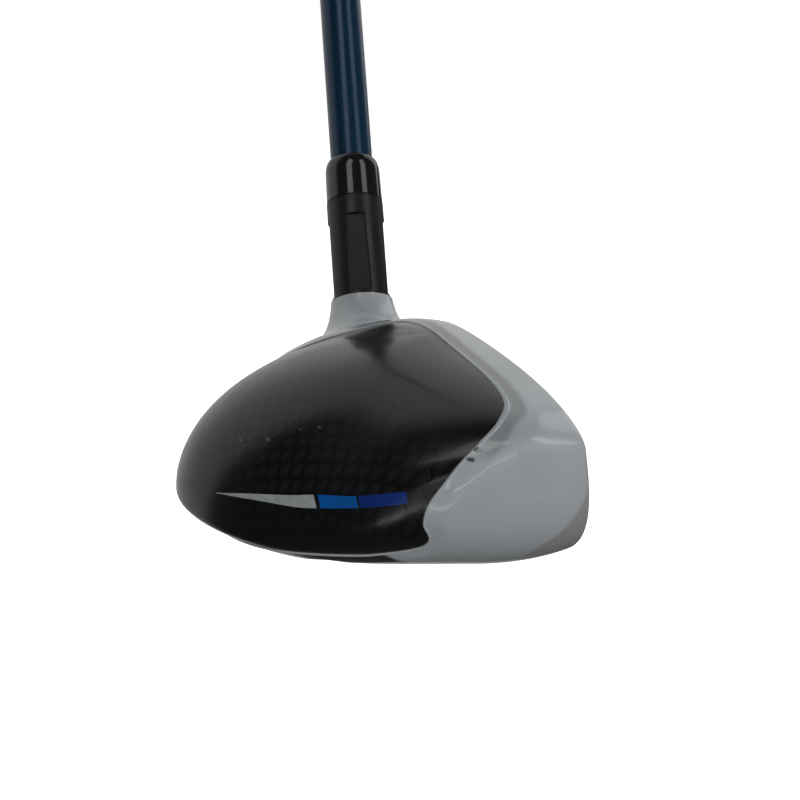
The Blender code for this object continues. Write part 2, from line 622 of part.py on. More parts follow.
def main():
    clear_scene()
    axis = make_axis("shaft_axis")
    screw_axis = make_axis("screw_axis", axis)
    build_body(axis)
    build_crown(axis)
    build_face_insert()
    build_sole_fittings()
    build_acoustic_pad()
    build_hosel_insert(axis)
    build_sleeve(axis)
    build_screw(axis, screw_axis)
    build_ferrule(axis)
    build_shaft(axis)


main()
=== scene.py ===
"""Looks of the hybrid golf club: fine surfaces, paint, metal, rubber and a plain studio.

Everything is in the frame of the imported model: +Z up, ground at z = 0 under the soled
head, +Y from the face to the rear, -X to the toe, +X to the heel, lengths in metres.
"""

import itertools
import math

import bmesh
import bpy
import numpy as np
from mathutils import Matrix, Vector


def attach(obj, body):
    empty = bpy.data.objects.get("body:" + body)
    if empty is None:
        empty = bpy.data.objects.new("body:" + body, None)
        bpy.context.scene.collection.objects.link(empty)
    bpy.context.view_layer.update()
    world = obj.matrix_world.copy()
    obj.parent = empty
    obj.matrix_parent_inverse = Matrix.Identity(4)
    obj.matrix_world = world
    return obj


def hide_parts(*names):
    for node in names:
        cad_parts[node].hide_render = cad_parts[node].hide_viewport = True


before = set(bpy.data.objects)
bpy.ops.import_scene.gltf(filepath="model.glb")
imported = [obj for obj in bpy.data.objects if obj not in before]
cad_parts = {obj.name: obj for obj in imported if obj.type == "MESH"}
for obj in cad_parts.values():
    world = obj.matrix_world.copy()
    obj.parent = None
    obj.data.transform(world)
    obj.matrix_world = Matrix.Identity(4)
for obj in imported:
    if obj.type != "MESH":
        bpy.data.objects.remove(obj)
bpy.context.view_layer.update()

MM = 0.001
NET_STEP = 0.5 * MM      # grid of the head's surface net
BLOCK_STEP = 0.6 * MM

# ---- the club's driving dimensions, as in the CAD model --------------------------
LIE = math.radians(58.5)
AXIS_FOOT = np.array((28.8 * MM, -4.5 * MM, 0.0))
AXIS_DIRECTION = np.array((math.cos(LIE), 0.0, math.sin(LIE)))
CLUB_LENGTH = 1022.0 * MM
LOFT = math.radians(19.0)
HEAD_CENTRE_X = 0.3 * MM
CROWN_TOP, SOLE_DEPTH = 35.8 * MM, 0.4 * MM
OUTLINE = np.array((46.0, 40.0, 43.8, 37.8, 41.0, 42.8, 42.3, 44.0)) * MM
GIRTH_HEEL, GIRTH_REAR, GIRTH_TOE = 12.0 * MM, 5.0 * MM, 29.0 * MM
CROWN_FULLNESS, CROWN_FULLNESS_HEEL, CROWN_POWER = 2.44, 1.6, 2.16
SOLE_FULLNESS, SOLE_FULLNESS_HEEL, SOLE_POWER = 2.6, 4.0, 2.7
LEADING_EDGE_Y, FACE_BULGE, FACE_ROLL = -21.9 * MM, 280.0 * MM, 300.0 * MM
FACE_MIDDLE_Z = 17.0 * MM
FACE_RIM, FACE_HEEL_END, FACE_PLATE = 3.2 * MM, 22.0 * MM, 2.0 * MM
GROOVE_PITCH, GROOVE_WIDTH, GROOVE_DEPTH = 3.6 * MM, 0.8 * MM, 0.4 * MM
GROOVE_HALF_LENGTH, GROOVE_MIDDLE_X = 19.0 * MM, -2.0 * MM
GROOVE_COUNT, GROOVE_FIRST_Z = 7, 8.0 * MM
CROWN_EDGE = np.array((
    (0.8, 60.0), (0.8, 36.8), (1.7, 34.6), (4.9, 32.7), (8.8, 29.8),
    (11.9, 26.2), (14.0, 22.0), (15.5, 18.0), (15.4, 14.2), (13.8, 10.6))) * MM
CROWN_SKIRT = np.array(((20.3, 7.3), (29.4, 5.2), (38.5, 3.0), (62.0, -2.6))) * MM
HOSEL_APRON = 30.0 * MM
HOSEL_TOP, HOSEL_RADIUS, HOSEL_BORE = 36.2 * MM, 6.45 * MM, 5.55 * MM
HOSEL_ROOT = 15.5 * MM
SCREW_POCKET, SHELF_BOTTOM = 5.0 * MM, 13.2 * MM
SLOT_CENTRE, SLOT_HALF_LENGTH, SLOT_HALF_WIDTH = (-4.0 * MM, -8.4 * MM), 21.0 * MM, 1.6 * MM
INLAY_CENTRE, INLAY_HALF_LENGTH, INLAY_HALF_WIDTH = (-6.0 * MM, 22.0 * MM), 18.0 * MM, 5.0 * MM
SLEEVE_TOP, SLEEVE_COLLAR, SLEEVE_TAPER = 59.2 * MM, 6.4 * MM, 0.15 * MM
FERRULE_TOP, FERRULE_RADIUS, FERRULE_CROWN = 69.2 * MM, 6.1 * MM, 3.2 * MM
SHAFT_TIP_RADIUS, SHAFT_BUTT_RADIUS, SHAFT_PARALLEL = 4.7 * MM, 7.6 * MM, 110.0 * MM
GRIP_LENGTH, GRIP_MOUTH_WALL, GRIP_BUTT_WALL = 267.0 * MM, 2.1 * MM, 5.0 * MM
CAP_THICKNESS = 5.0 * MM
GAP = 0.3 * MM

# ---- walls, bores and cutters behind the visible surfaces --------------------------
FAR = 80.0 * MM              # further than any part of the head reaches
SLAB_HEIGHTS = (-15.0 * MM, 60.0 * MM)
SHELL_WALL, FRONT_WALL, HOSEL_CORE = 2.2 * MM, 3.6 * MM, 6.9 * MM
PANEL_WALL, PANEL_PLAY = 2.6 * MM, 0.1 * MM
FACE_PLAY, FACE_SEAT = 0.12 * MM, 0.1 * MM
INLAY_FLOOR, INLAY_SINK, INLAY_DEPTH = 1.1 * MM, 0.1 * MM, 0.8 * MM
SCREW_BORE, HOSEL_FLOOR, BORE_CHAMFER = 2.8 * MM, 15.0 * MM, 0.3 * MM
SLEEVE_FOOT, TOOTH_FOOT, TOOTH_LENGTH = 20.3 * MM, 15.9 * MM, 5.4 * MM
THREAD_BORE, THREAD_TOP, SHAFT_SEAT = 3.1 * MM, 21.1 * MM, 21.9 * MM
SHAFT_BORE, JOINT_GAP = 4.8 * MM, 0.08 * MM
TAPE_THICKNESS = 0.45 * MM

# ---- how the visible head differs from the plain CAD shell ------------------------
VALLEY_DEPTH = 0.40 * MM     # of the step between the painted front and the crown panel
VALLEY_WIDTH = 3.0 * MM
PANEL_BLEND = 7.0 * MM       # over which the crown panel dips towards its edge
PANEL_SINK = 0.15 * MM       # of the panel below the paint at their joint
FACE_EDGE_BLEND = 1.2 * MM
SWELL = 0.25 * MM            # of the dome, against the rounding of its edges
CREST_RISE = 1.1 * MM        # of the top beside the hosel
CREST_PLACE, CREST_REACH = (10.0 * MM, -1.0 * MM), (16.0 * MM, 9.0 * MM)
JOINT_SHIFT = 0.9 * MM       # of the crown joint away from the middle of the panel
JOINT_ROUNDING = 3.0 * MM    # of its corner beside the hosel
BEAD_RADIUS, BEAD_OUT, BEAD_SINK = 0.26 * MM, 0.16 * MM, 0.14 * MM
GROUND_BLEND = 1.2 * MM
HOSEL_BLEND = 12.0 * MM

# ---- sleeve, grip and stripe details -----------------------------------------------
SPLINE_TEETH, SPLINE_TIP, SPLINE_ROOT = 12, 4.1 * MM, 3.6 * MM
WINDOW_COUNT, WINDOW_TURN = 4, math.radians(66.7)    # one window faces the toe and rear
WINDOW_FOOT, WINDOW_HEAD = 37.0 * MM, 54.8 * MM
WINDOW_HALF_WIDTH, WINDOW_WIDENING, WINDOW_DEPTH = 1.9 * MM, 0.5 * MM, 0.85 * MM
GRIP_PITCH, GRIP_HATCH, GRIP_RELIEF = 6.0 * MM, 10, 0.35 * MM
GRIP_PLAIN_BANDS, GRIP_MOUTH_RINGS = (0.42, 0.5), (5.0 * MM, 8.0 * MM, 11.0 * MM)
GRIP_EDGE = 0.8 * MM
STRIPE_TOP = np.array(((-10.2, 40.4, 10.1), (-16.2, 36.0, 12.3), (-20.8, 31.5, 13.9),
                       (-24.1, 28.0, 15.3), (-28.5, 23.6, 16.8), (-34.1, 17.1, 19.9))) * MM
STRIPE_BOTTOM = np.array(((-10.2, 40.4, 10.0), (-16.6, 35.9, 11.4), (-21.1, 31.7, 12.2),
                          (-23.8, 29.0, 12.9), (-29.6, 22.9, 15.3), (-34.0, 17.4, 17.7))) * MM
STRIPE_SLANT, STRIPE_RISE, STRIPE_ROOT = -0.03, 0.03 * MM, 0.05 * MM
STRIPES = (("stripe_grey", 0.0, 0.545, "grey_stripe", (0.30, 0.32, 0.32)),
           ("stripe_blue", 0.565, 0.755, "blue_stripe", (0.0, 0.085, 0.33)),
           ("stripe_navy", 0.765, 0.99, "dark_blue_stripe", (0.003, 0.024, 0.17)))

# ---- paint edges, painted shade and wear; PAINT_EDGE, CHIPS and NICKS are in millimetres ---
PAINT_EDGE = np.array(((-5.4, 0.0), (-5.4, 6.7), (-5.5, 8.7), (-6.3, 10.8), (-8.0, 13.3),
                       (-9.6, 16.2), (-10.3, 19.1), (-10.6, 21.4), (-10.7, 23.7), (-30.0, 26.0)))
SOLE_PAINT_Z = 2.2 * MM
UNDER_SKIRT_Y = 6.0 * MM     # the underside is black from here to the rear
VALLEY_SHADE_REACH, VALLEY_SHADE_END_Z = 2.6 * MM, 26.0 * MM     # of the band of painted shade beside the crown panel
HONEYCOMB_TURN = math.radians(22.8)
CHIPS = (((-38.0, 9.0, 28.0), (0.8, 1.0, 0.42)), ((-38.0, 10.0, 26.4), (0.6, 0.8, 0.32)),
         ((-38.5, 7.1, 18.7), (0.3, 0.3, 0.25)))
NICKS = (((-13.3, 33.9, 20.6), (0.7, 0.5, 0.3)), ((-9.2, 37.2, 19.0), (0.5, 0.4, 0.25)),
         ((-18.1, 27.1, 24.4), (0.5, 0.3, 0.2)), ((-16.1, 29.6, 23.4), (0.4, 0.3, 0.2)))

# ---- camera and light ------------------------------------------------------------------
CAMERA_PLACE = Vector((-0.1849, 0.0924, 0.0817))
CAMERA_TURN = ((-0.3837, -0.9117, 0.1470), (0.3092, 0.0232, 0.9507), (-0.8702, 0.4102, 0.2731))
CAMERA_LENS = 52.71
FLOOR_Z = -0.06              # low enough for the head to be drawn off the shaft above it
BRIGHT_SIDE = (0.974, 0.207, 0.087)
ROOM_LIGHT, BRIGHT_LIGHT = 0.05, 0.50
FLOOR_GLOW = 0.95
# name, azimuth, height, distance, size, power, seen in reflections, height aimed at
LIGHTS = (
    ("top_softbox", 150, 1.7, 0.5, (1.6, 1.6), 3.4, False, 0.2),
    ("toe_fill", 185, 0.2, 1.3, (1.2, 0.9), 10.5, False, 0.2),
    ("left_strip", 124, 1.15, 1.0, (0.46, 1.1), 2.3, True, 0.15),
    ("right_strip", 220, 1.15, 1.0, (0.46, 1.1), 2.3, True, 0.15),
    ("back_fill", 25, 0.9, 1.8, (1.5, 1.5), 10.0, False, 0.2),
    ("face_fill", 285, 0.6, 1.5, (1.3, 1.3), 10.0, False, 0.2),
    ("right_card", 300, 0.9, 1.2, (0.6, 1.2), 1.6, True, 0.1),
    ("low_glow", 148, -0.24, 0.5, (0.22, 0.05), 0.06, True, 0.02),
    ("low_line", 166, -0.12, 0.5, (0.40, 0.012), 0.08, True, 0.02))


# ==== shape of the head =================================================================

def unit_rows(vectors, least=1e-9):
    return vectors / np.maximum(np.linalg.norm(vectors, axis=1, keepdims=True), least)


def smooth_step(value):
    value = np.clip(value, 0.0, 1.0)
    return value * value * (3.0 - 2.0 * value)


def smooth_max(a, b, blend):
    share = np.maximum(blend - np.abs(a - b), 0.0) / blend
    return np.maximum(a, b) + share * share * blend / 4.0


def smooth_min(a, b, blend):
    return -smooth_max(-a, -b, blend)


def outline_radius(angle):
    """Smooth closed curve through the outline distances."""
    place = (angle % math.tau) / math.tau * len(OUTLINE)
    first = np.floor(place).astype(int) % len(OUTLINE)
    t = place - np.floor(place)
    before, start, end, after = (OUTLINE[(first + k) % len(OUTLINE)] for k in (-1, 0, 1, 2))
    slope_in, slope_out = (end - before) / 2.0, (after - start) / 2.0
    return ((2 * t**3 - 3 * t**2 + 1) * start + (t**3 - 2 * t**2 + t) * slope_in
            + (3 * t**2 - 2 * t**3) * end + (t**3 - t**2) * slope_out)


def girth_height(angle):
    toe = smooth_step(0.5 - 0.5 * np.cos(angle))
    side = GIRTH_HEEL + (GIRTH_TOE - GIRTH_HEEL) * toe
    return side + (GIRTH_REAR - side) * smooth_step(np.sin(angle))


def fullness_at(angle):
    """Exponents of the crown's and the sole's roundness in that direction."""
    heel_top = smooth_step(1.2 * np.cos(angle - math.pi / 4))
    heel_low = smooth_step(np.cos(angle))
    return (CROWN_FULLNESS + (CROWN_FULLNESS_HEEL - CROWN_FULLNESS) * heel_top,
            SOLE_FULLNESS + (SOLE_FULLNESS_HEEL - SOLE_FULLNESS) * heel_low)


def dome(x, y, z):
    """Roughly the distance outside the dome and bowl, negative inside."""
    angle = np.arctan2(y, x - HEAD_CENTRE_X)
    radius = outline_radius(angle)
    reach = np.maximum(np.hypot(x - HEAD_CENTRE_X, y) / radius, 1e-4)
    widest = girth_height(angle)
    upper = z >= widest
    fullness = np.where(upper, *fullness_at(angle))
    power = np.where(upper, CROWN_POWER, SOLE_POWER)
    height = np.where(upper, CROWN_TOP - widest, widest + SOLE_DEPTH)
    lift = np.maximum(np.abs(z - widest) / height, 1e-4)
    value = reach**fullness + lift**power - 1.0
    steepness = np.hypot(fullness * reach**(fullness - 1.0) / radius,
                         power * lift**(power - 1.0) / height)
    return value / np.maximum(steepness, 8.0)


def face_y(x, z):
    """The lofted, slightly bulged face surface."""
    return (LEADING_EDGE_Y + z * math.tan(LOFT) + x * x / (2 * FACE_BULGE)
            + (z - FACE_MIDDLE_Z) ** 2 / (2 * FACE_ROLL))


def axis_place(x, y, z):
    """Distance from the shaft axis and height along it."""
    offset = (x - AXIS_FOOT[0], y - AXIS_FOOT[1], z - AXIS_FOOT[2])
    height = offset[0] * AXIS_DIRECTION[0] + offset[2] * AXIS_DIRECTION[2]
    square = offset[0]**2 + offset[1]**2 + offset[2]**2 - height**2
    return np.sqrt(np.maximum(square, 0.0)), height


def spline(points, steps):
    """Points on a smooth curve through the given points."""
    padded = [points[0], *points, points[-1]]
    curve = []
    for a, b, c, d in zip(padded, padded[1:], padded[2:], padded[3:]):
        for t in np.arange(steps) / steps:
            curve.append(0.5 * (2 * b + (c - a) * t + (2 * a - 5 * b + 4 * c - d) * t**2
                                + (3 * b - a - 3 * c + d) * t**3))
    curve.append(points[-1])
    return np.array(curve)


def crown_outline():
    """Edge of the crown panel as seen from the toe, as closed (y, z) points."""
    rear = np.array((CROWN_SKIRT[-1][0], CROWN_EDGE[0][1]))
    line = spline(np.vstack((CROWN_EDGE[1:], CROWN_SKIRT[:1])), 10)
    return np.vstack((CROWN_EDGE[:1], line, CROWN_SKIRT[1:], rear[None]))


class DistanceTable:
    """Signed distance to a closed (y, z) outline, negative inside, on a fine grid."""

    STEP = 0.25 * MM
    LOW = np.array((-34.0, -12.0)) * MM
    HIGH = np.array((66.0, 66.0)) * MM

    def __init__(self, outline):
        axes = [np.arange(a, b, self.STEP) for a, b in zip(self.LOW, self.HIGH)]
        y, z = np.meshgrid(*axes, indexing="ij")
        nearest = np.full(y.shape, 1.0)
        crossings = np.zeros(y.shape, int)
        for start, end in zip(outline, np.roll(outline, -1, axis=0)):
            run = end - start
            share = ((y - start[0]) * run[0] + (z - start[1]) * run[1]) / max(run @ run, 1e-12)
            share = np.clip(share, 0.0, 1.0)
            gap = np.hypot(y - start[0] - share * run[0], z - start[1] - share * run[1])
            nearest = np.minimum(nearest, gap)
            if start[1] != end[1]:
                spans = (start[1] > z) != (end[1] > z)
                crossings += spans & (y < start[0] + (z - start[1]) * run[0] / run[1])
        self.table = np.where(crossings % 2 == 1, -nearest, nearest)

    def __call__(self, y, z):
        place = [(np.clip(v, low + self.STEP, high - 3 * self.STEP) - low) / self.STEP
                 for v, low, high in zip((y, z), self.LOW, self.HIGH)]
        corner = [np.floor(p).astype(int) for p in place]
        s, t = (p - c for p, c in zip(place, corner))
        i, j = corner
        table = self.table
        return ((1 - s) * ((1 - t) * table[i, j] + t * table[i, j + 1])
                + s * ((1 - t) * table[i + 1, j] + t * table[i + 1, j + 1]))


crown_profile = DistanceTable(crown_outline())


def crown_side(x, y, z):
    """Distance to the joint round the crown panel, negative on the panel."""
    radius, _ = axis_place(x, y, z)
    return smooth_max(crown_profile(y, z) - JOINT_SHIFT, HOSEL_APRON - radius, JOINT_ROUNDING)


def head(x, y, z):
    """Roughly the distance outside the painted head with its hosel, negative inside."""
    side = crown_side(x, y, z)
    step = np.where(side > 0, 1.0 - smooth_step(side / VALLEY_WIDTH),
                    1.0 - smooth_step(-side / PANEL_BLEND))
    crest = np.exp(-((x - CREST_PLACE[0]) / CREST_REACH[0])**2
                   - ((y - CREST_PLACE[1]) / CREST_REACH[1])**2)
    shell = dome(x, y, z) - SWELL - CREST_RISE * crest + VALLEY_DEPTH * step
    shell = smooth_max(shell, (face_y(x, z) - y) * math.cos(LOFT), FACE_EDGE_BLEND)
    radius, height = axis_place(x, y, z)
    below = np.maximum(HOSEL_ROOT - height, 0.0)
    tube = np.maximum(np.hypot(radius, below) - HOSEL_RADIUS, height - HOSEL_TOP - 2 * MM)
    shell = smooth_min(shell, tube, HOSEL_BLEND)
    return smooth_max(shell, -z, GROUND_BLEND)


# ==== mesh tools =========================================================================

def gradient(field, points, step=0.02 * MM):
    slopes = []
    for axis in range(3):
        offset = np.zeros(3)
        offset[axis] = step
        slopes.append((field(*(points + offset).T) - field(*(points - offset).T)) / (2 * step))
    return np.stack(slopes, axis=1)


def onto(field, points, rounds=6, reach=0.4 * MM, target=0.0):
    """Move points along the field's slope until they lie on its surface."""
    for _ in range(rounds):
        slope = gradient(field, points)
        size = np.maximum((slope * slope).sum(axis=1), 1e-6)
        move = -(field(*points.T) - target)[:, None] * slope / size[:, None]
        length = np.maximum(np.linalg.norm(move, axis=1, keepdims=True), 1e-12)
        points = points + move * np.minimum(1.0, reach / length)
    return points


def surface_net(field, low, high, step):
    """Quad mesh of a field's zero surface: one point per grid cell that it crosses."""
    axes = [np.arange(a, b, step) for a, b in zip(low, high)]
    counts = [len(a) for a in axes]
    value = np.empty(counts)
    for i, x in enumerate(axes[0]):
        y, z = np.meshgrid(axes[1], axes[2], indexing="ij")
        value[i] = field(np.full(y.shape, x), y, z)
    inside = value < 0

    def corner(array, offset):
        return array[tuple(slice(o, n - 1 + o) for o, n in zip(offset, counts))]

    corners = list(itertools.product((0, 1), repeat=3))
    total = sum(corner(inside, c).astype(np.int8) for c in corners)
    active = (total > 0) & (total < 8)
    cells = np.argwhere(active)
    number = np.full(active.shape, -1)
    number[tuple(cells.T)] = np.arange(len(cells))

    middle, crossed = np.zeros((len(cells), 3)), np.zeros(len(cells))
    for first, second in itertools.combinations(corners, 2):
        if sum(abs(a - b) for a, b in zip(first, second)) != 1:
            continue
        start = value[tuple((cells + first).T)]
        end = value[tuple((cells + second).T)]
        hit = (start < 0) != (end < 0)
        share = np.where(hit, start / np.where(hit, start - end, 1.0), 0.0)
        place = np.array(first) + share[:, None] * (np.array(second) - np.array(first))
        middle += place * hit[:, None]
        crossed += hit
    points = np.array(low) + (cells + middle / crossed[:, None]) * step

    quads = []
    for axis in range(3):
        other = [a for a in range(3) if a != axis]
        near = [slice(None)] * 3
        far = [slice(None)] * 3
        near[axis], far[axis] = slice(0, -1), slice(1, None)
        edges = np.argwhere(inside[tuple(near)] != inside[tuple(far)])
        keep = np.all(edges[:, other] > 0, axis=1)
        keep &= np.all(edges[:, other] < np.array(counts)[other] - 1, axis=1)
        edges = edges[keep]
        ring = []
        for a, b in ((-1, -1), (0, -1), (0, 0), (-1, 0)):
            place = edges.copy()
            place[:, other[0]] += a
            place[:, other[1]] += b
            ring.append(number[tuple(place.T)])
        ring = np.stack(ring, axis=1)
        outward = inside[tuple(edges.T)]
        if axis == 1:
            outward = ~outward
        ring[~outward] = ring[~outward][:, ::-1]
        quads.append(ring)
    return points, np.vstack(quads)


def relax(points, quads, field, rounds=3):
    """Even out a net's points while they stay on its surface."""
    pairs = np.vstack([quads[:, [k, (k + 1) % 4]] for k in range(4)])
    start = np.concatenate((pairs[:, 0], pairs[:, 1]))
    end = np.concatenate((pairs[:, 1], pairs[:, 0]))
    weight = np.bincount(start, minlength=len(points))
    for _ in range(rounds):
        mean = np.stack([np.bincount(start, points[end, k], len(points)) for k in range(3)], axis=1)
        points = onto(field, 0.5 * points + 0.5 * mean / weight[:, None], rounds=2)
    return points


def linked(name, data):
    item = bpy.data.objects.new(name, data)
    bpy.context.scene.collection.objects.link(item)
    return item


def mesh_object(name, points, faces):
    mesh = bpy.data.meshes.new(name)
    if isinstance(faces, np.ndarray):
        faces = faces.tolist()
    mesh.from_pydata(np.asarray(points).tolist(), [], faces)
    return linked(name, mesh)


def fill_mesh(mesh, shape):
    """Write a bmesh into a mesh, with every face turned outwards."""
    bmesh.ops.recalc_face_normals(shape, faces=shape.faces)
    shape.to_mesh(mesh)
    shape.free()


def from_bmesh(name, shape):
    mesh = bpy.data.meshes.new(name)
    fill_mesh(mesh, shape)
    return linked(name, mesh)


def turn_outwards(item):
    shape = bmesh.new()
    shape.from_mesh(item.data)
    fill_mesh(item.data, shape)


def shade(item, sharp_angle):
    """Smooth shading, with edges sharper than that many degrees kept hard."""
    item.data.shade_smooth()
    item.data.set_sharp_from_angle(angle=math.radians(sharp_angle))
    return item


def vertex_places(mesh):
    places = np.empty(len(mesh.vertices) * 3)
    mesh.vertices.foreach_get("co", places)
    return places.reshape(-1, 3)


def store(mesh, name, values):
    """Keep one number, or one vector, at each vertex for the materials to read."""
    kind, field = ("FLOAT", "value") if values.ndim == 1 else ("FLOAT_VECTOR", "vector")
    layer = mesh.attributes.new(name, kind, "POINT")
    layer.data.foreach_set(field, values.astype(np.float32).ravel())


def ring_faces(rings, columns):
    """Quads of a closed loop of closed rings, as (a, b, c, d) numbers."""
    faces = []
    for ring in range(rings):
        upper = (ring + 1) % rings
        for k in range(columns):
            after = (k + 1) % columns
            faces.append((ring * columns + k, ring * columns + after,
                          upper * columns + after, upper * columns + k))
    return faces


def grid_border(columns, rows):
    """(column, row) places round the border of a grid of cells."""
    return ([(c, 0) for c in range(columns)] + [(columns, r) for r in range(rows)]
            + [(c, rows) for c in range(columns, 0, -1)] + [(0, r) for r in range(rows, 0, -1)])


def carve(item, steps):
    """Apply Boolean steps, (operation, cutter) pairs, and remove the cutters."""
    for operation, cutter in steps:
        boolean = item.modifiers.new(cutter.name, "BOOLEAN")
        boolean.operation = operation
        boolean.solver = "EXACT"
        boolean.object = cutter
    depsgraph = bpy.context.evaluated_depsgraph_get()
    mesh = bpy.data.meshes.new_from_object(item.evaluated_get(depsgraph))
    item.modifiers.clear()
    item.data = mesh
    for _, cutter in steps:
        bpy.data.objects.remove(cutter)
    return item


def polish(item, field, tolerance=0.03 * MM, limit=35.0):
    """Shade the parts that lie on a field's surface with the field's own slope."""
    mesh = item.data
    mesh.shade_smooth()
    points = vertex_places(mesh)
    slope = unit_rows(gradient(field, points))
    near = np.abs(field(*points.T)) < tolerance
    vertex = np.empty(len(mesh.loops), int)
    mesh.loops.foreach_get("vertex_index", vertex)
    face_of = np.repeat(np.arange(len(mesh.polygons)), [p.loop_total for p in mesh.polygons])
    normal = np.empty(len(mesh.polygons) * 3)
    mesh.polygons.foreach_get("normal", normal)
    flat = normal.reshape(-1, 3)[face_of]
    smooth = slope[vertex]
    close = (flat * smooth).sum(axis=1) > math.cos(math.radians(limit))
    chosen = np.where((close & near[vertex])[:, None], smooth, flat)
    mesh.normals_split_custom_set(chosen.tolist())


def extruded(outline, offset, length, axis):
    """Prism on a flat outline: axis X takes (y, z) points, axis Z takes (x, y) points."""
    shape = bmesh.new()
    if axis == "X":
        corners = [shape.verts.new((offset, a, b)) for a, b in outline]
        direction = Vector((length, 0, 0))
    else:
        corners = [shape.verts.new((a, b, offset)) for a, b in outline]
        direction = Vector((0, 0, length))
    floor = shape.faces.new(corners)
    swept = bmesh.ops.extrude_face_region(shape, geom=[floor])
    moved = [v for v in swept["geom"] if isinstance(v, bmesh.types.BMVert)]
    bmesh.ops.translate(shape, verts=moved, vec=direction)
    return shape


AXIS_TURN = Matrix.Translation(Vector(AXIS_FOOT)) @ (
    Vector(AXIS_DIRECTION).to_track_quat("Z", "Y").to_matrix().to_4x4())


def turned(name, profile, closed=False, sides=96):
    """Spin a (radius, height) profile about the shaft axis."""
    shape = bmesh.new()
    corners = [shape.verts.new((radius, 0, height)) for radius, height in profile]
    edges = [shape.edges.new(pair) for pair in zip(corners, corners[1:])]
    if closed:
        edges.append(shape.edges.new((corners[-1], corners[0])))
    bmesh.ops.spin(shape, geom=corners + edges, cent=(0, 0, 0), axis=(0, 0, 1),
                   angle=math.tau, steps=sides, use_merge=True)
    bmesh.ops.remove_doubles(shape, verts=shape.verts, dist=1e-6)
    bmesh.ops.transform(shape, matrix=AXIS_TURN, verts=shape.verts)
    return shade(from_bmesh(name, shape), 32)


def crown_block(name, grow):
    """Solid that fills the crown panel's region, grown outwards, out past the head's surface."""
    low, high = np.array((-46.0, -1.5, -1.0)) * MM, np.array((46.0, 47.0, 39.0)) * MM
    middle, reach = (low + high) / 2, (high - low) / 2 - 0.9 * MM

    def region(x, y, z):
        value = crown_side(x, y, z) - grow
        for place, centre, half in zip((x, y, z), middle, reach):
            value = np.maximum(value, np.abs(place - centre) - half)
        return value

    points, quads = surface_net(region, low, high, BLOCK_STEP)
    return mesh_object(name, onto(region, points, rounds=3), quads)


# ==== pieces =============================================================================

def head_net():
    low = np.array((-47.0, -26.0, -1.7)) * MM
    high = np.array((63.0, 47.0, 46.0)) * MM
    points, quads = surface_net(head, low, high, NET_STEP)
    return relax(points, quads, head), quads


HEAD_POINTS, HEAD_QUADS = head_net()


def head_form(inset, columns=144, rows=26):
    """Closed dome and bowl whose surface lies inset inside the head's outer surface."""
    angle = np.arange(columns) * math.tau / columns
    widest = girth_height(angle)
    top, bottom = CROWN_TOP - inset, -SOLE_DEPTH + inset
    crown_fullness, sole_fullness = fullness_at(angle)
    points = [np.array((HEAD_CENTRE_X, 0.0, top))]
    for row in range(1, 2 * rows):
        lift = (1.0 - row / rows) * math.pi / 2
        if lift >= 0:
            fullness = crown_fullness
            z = widest + (top - widest) * math.sin(lift) ** (2 / CROWN_POWER)
        else:
            fullness = sole_fullness
            z = widest - (widest - bottom) * math.sin(-lift) ** (2 / SOLE_POWER)
        radius = (outline_radius(angle) - inset) * math.cos(lift) ** (2 / fullness)
        points.extend(np.stack((HEAD_CENTRE_X + radius * np.cos(angle),
                                radius * np.sin(angle), z), axis=1))
    points.append(np.array((HEAD_CENTRE_X, 0.0, bottom)))
    faces = []
    for row in range(2 * rows - 2):
        upper, lower = 1 + row * columns, 1 + (row + 1) * columns
        for k in range(columns):
            after = (k + 1) % columns
            faces.append((upper + k, lower + k, lower + after, upper + after))
    last = 1 + (2 * rows - 2) * columns
    for k in range(columns):
        after = (k + 1) % columns
        faces.append((0, 1 + k, 1 + after))
        faces.append((len(points) - 1, last + after, last + k))
    return points, faces


def form_object(name, inset):
    return mesh_object(name, *head_form(inset))


def face_slab(name, x_range, z_range, y_range, columns=64, rows=24):
    """Slab that follows the face, from one depth behind it to another."""
    xs = np.linspace(*x_range, columns + 1)
    zs = np.linspace(*z_range, rows + 1)
    points, faces = [], []
    for depth in y_range:
        for x in xs:
            points.extend((x, face_y(x, z) + depth, z) for z in zs)
    size = (columns + 1) * (rows + 1)

    def at(side, column, row):
        return side * size + column * (rows + 1) + row

    for column in range(columns):
        for row in range(rows):
            ring = ((column, row), (column + 1, row), (column + 1, row + 1), (column, row + 1))
            faces.append(tuple(at(0, *place) for place in ring))
            faces.append(tuple(at(1, *place) for place in reversed(ring)))
    border = grid_border(columns, rows)
    for here, after in zip(border, border[1:] + border[:1]):
        faces.append((at(0, *after), at(0, *here), at(1, *here), at(1, *after)))
    return mesh_object(name, points, faces)


def stadium(centre, half_length, half_width, sides=16):
    """Slot outline along X with round ends, as (x, y) points."""
    points = []
    for end in (1, -1):
        for k in range(sides + 1):
            angle = math.pi * (k / sides - 0.5)
            points.append((centre[0] + end * (half_length - half_width + half_width * math.cos(angle)),
                           centre[1] + end * half_width * math.sin(angle)))
    return points


def sole_bar(name, centre, half_length, half_width):
    return from_bmesh(name, extruded(stadium(centre, half_length, half_width),
                                     -5 * MM, 17 * MM, "Z"))


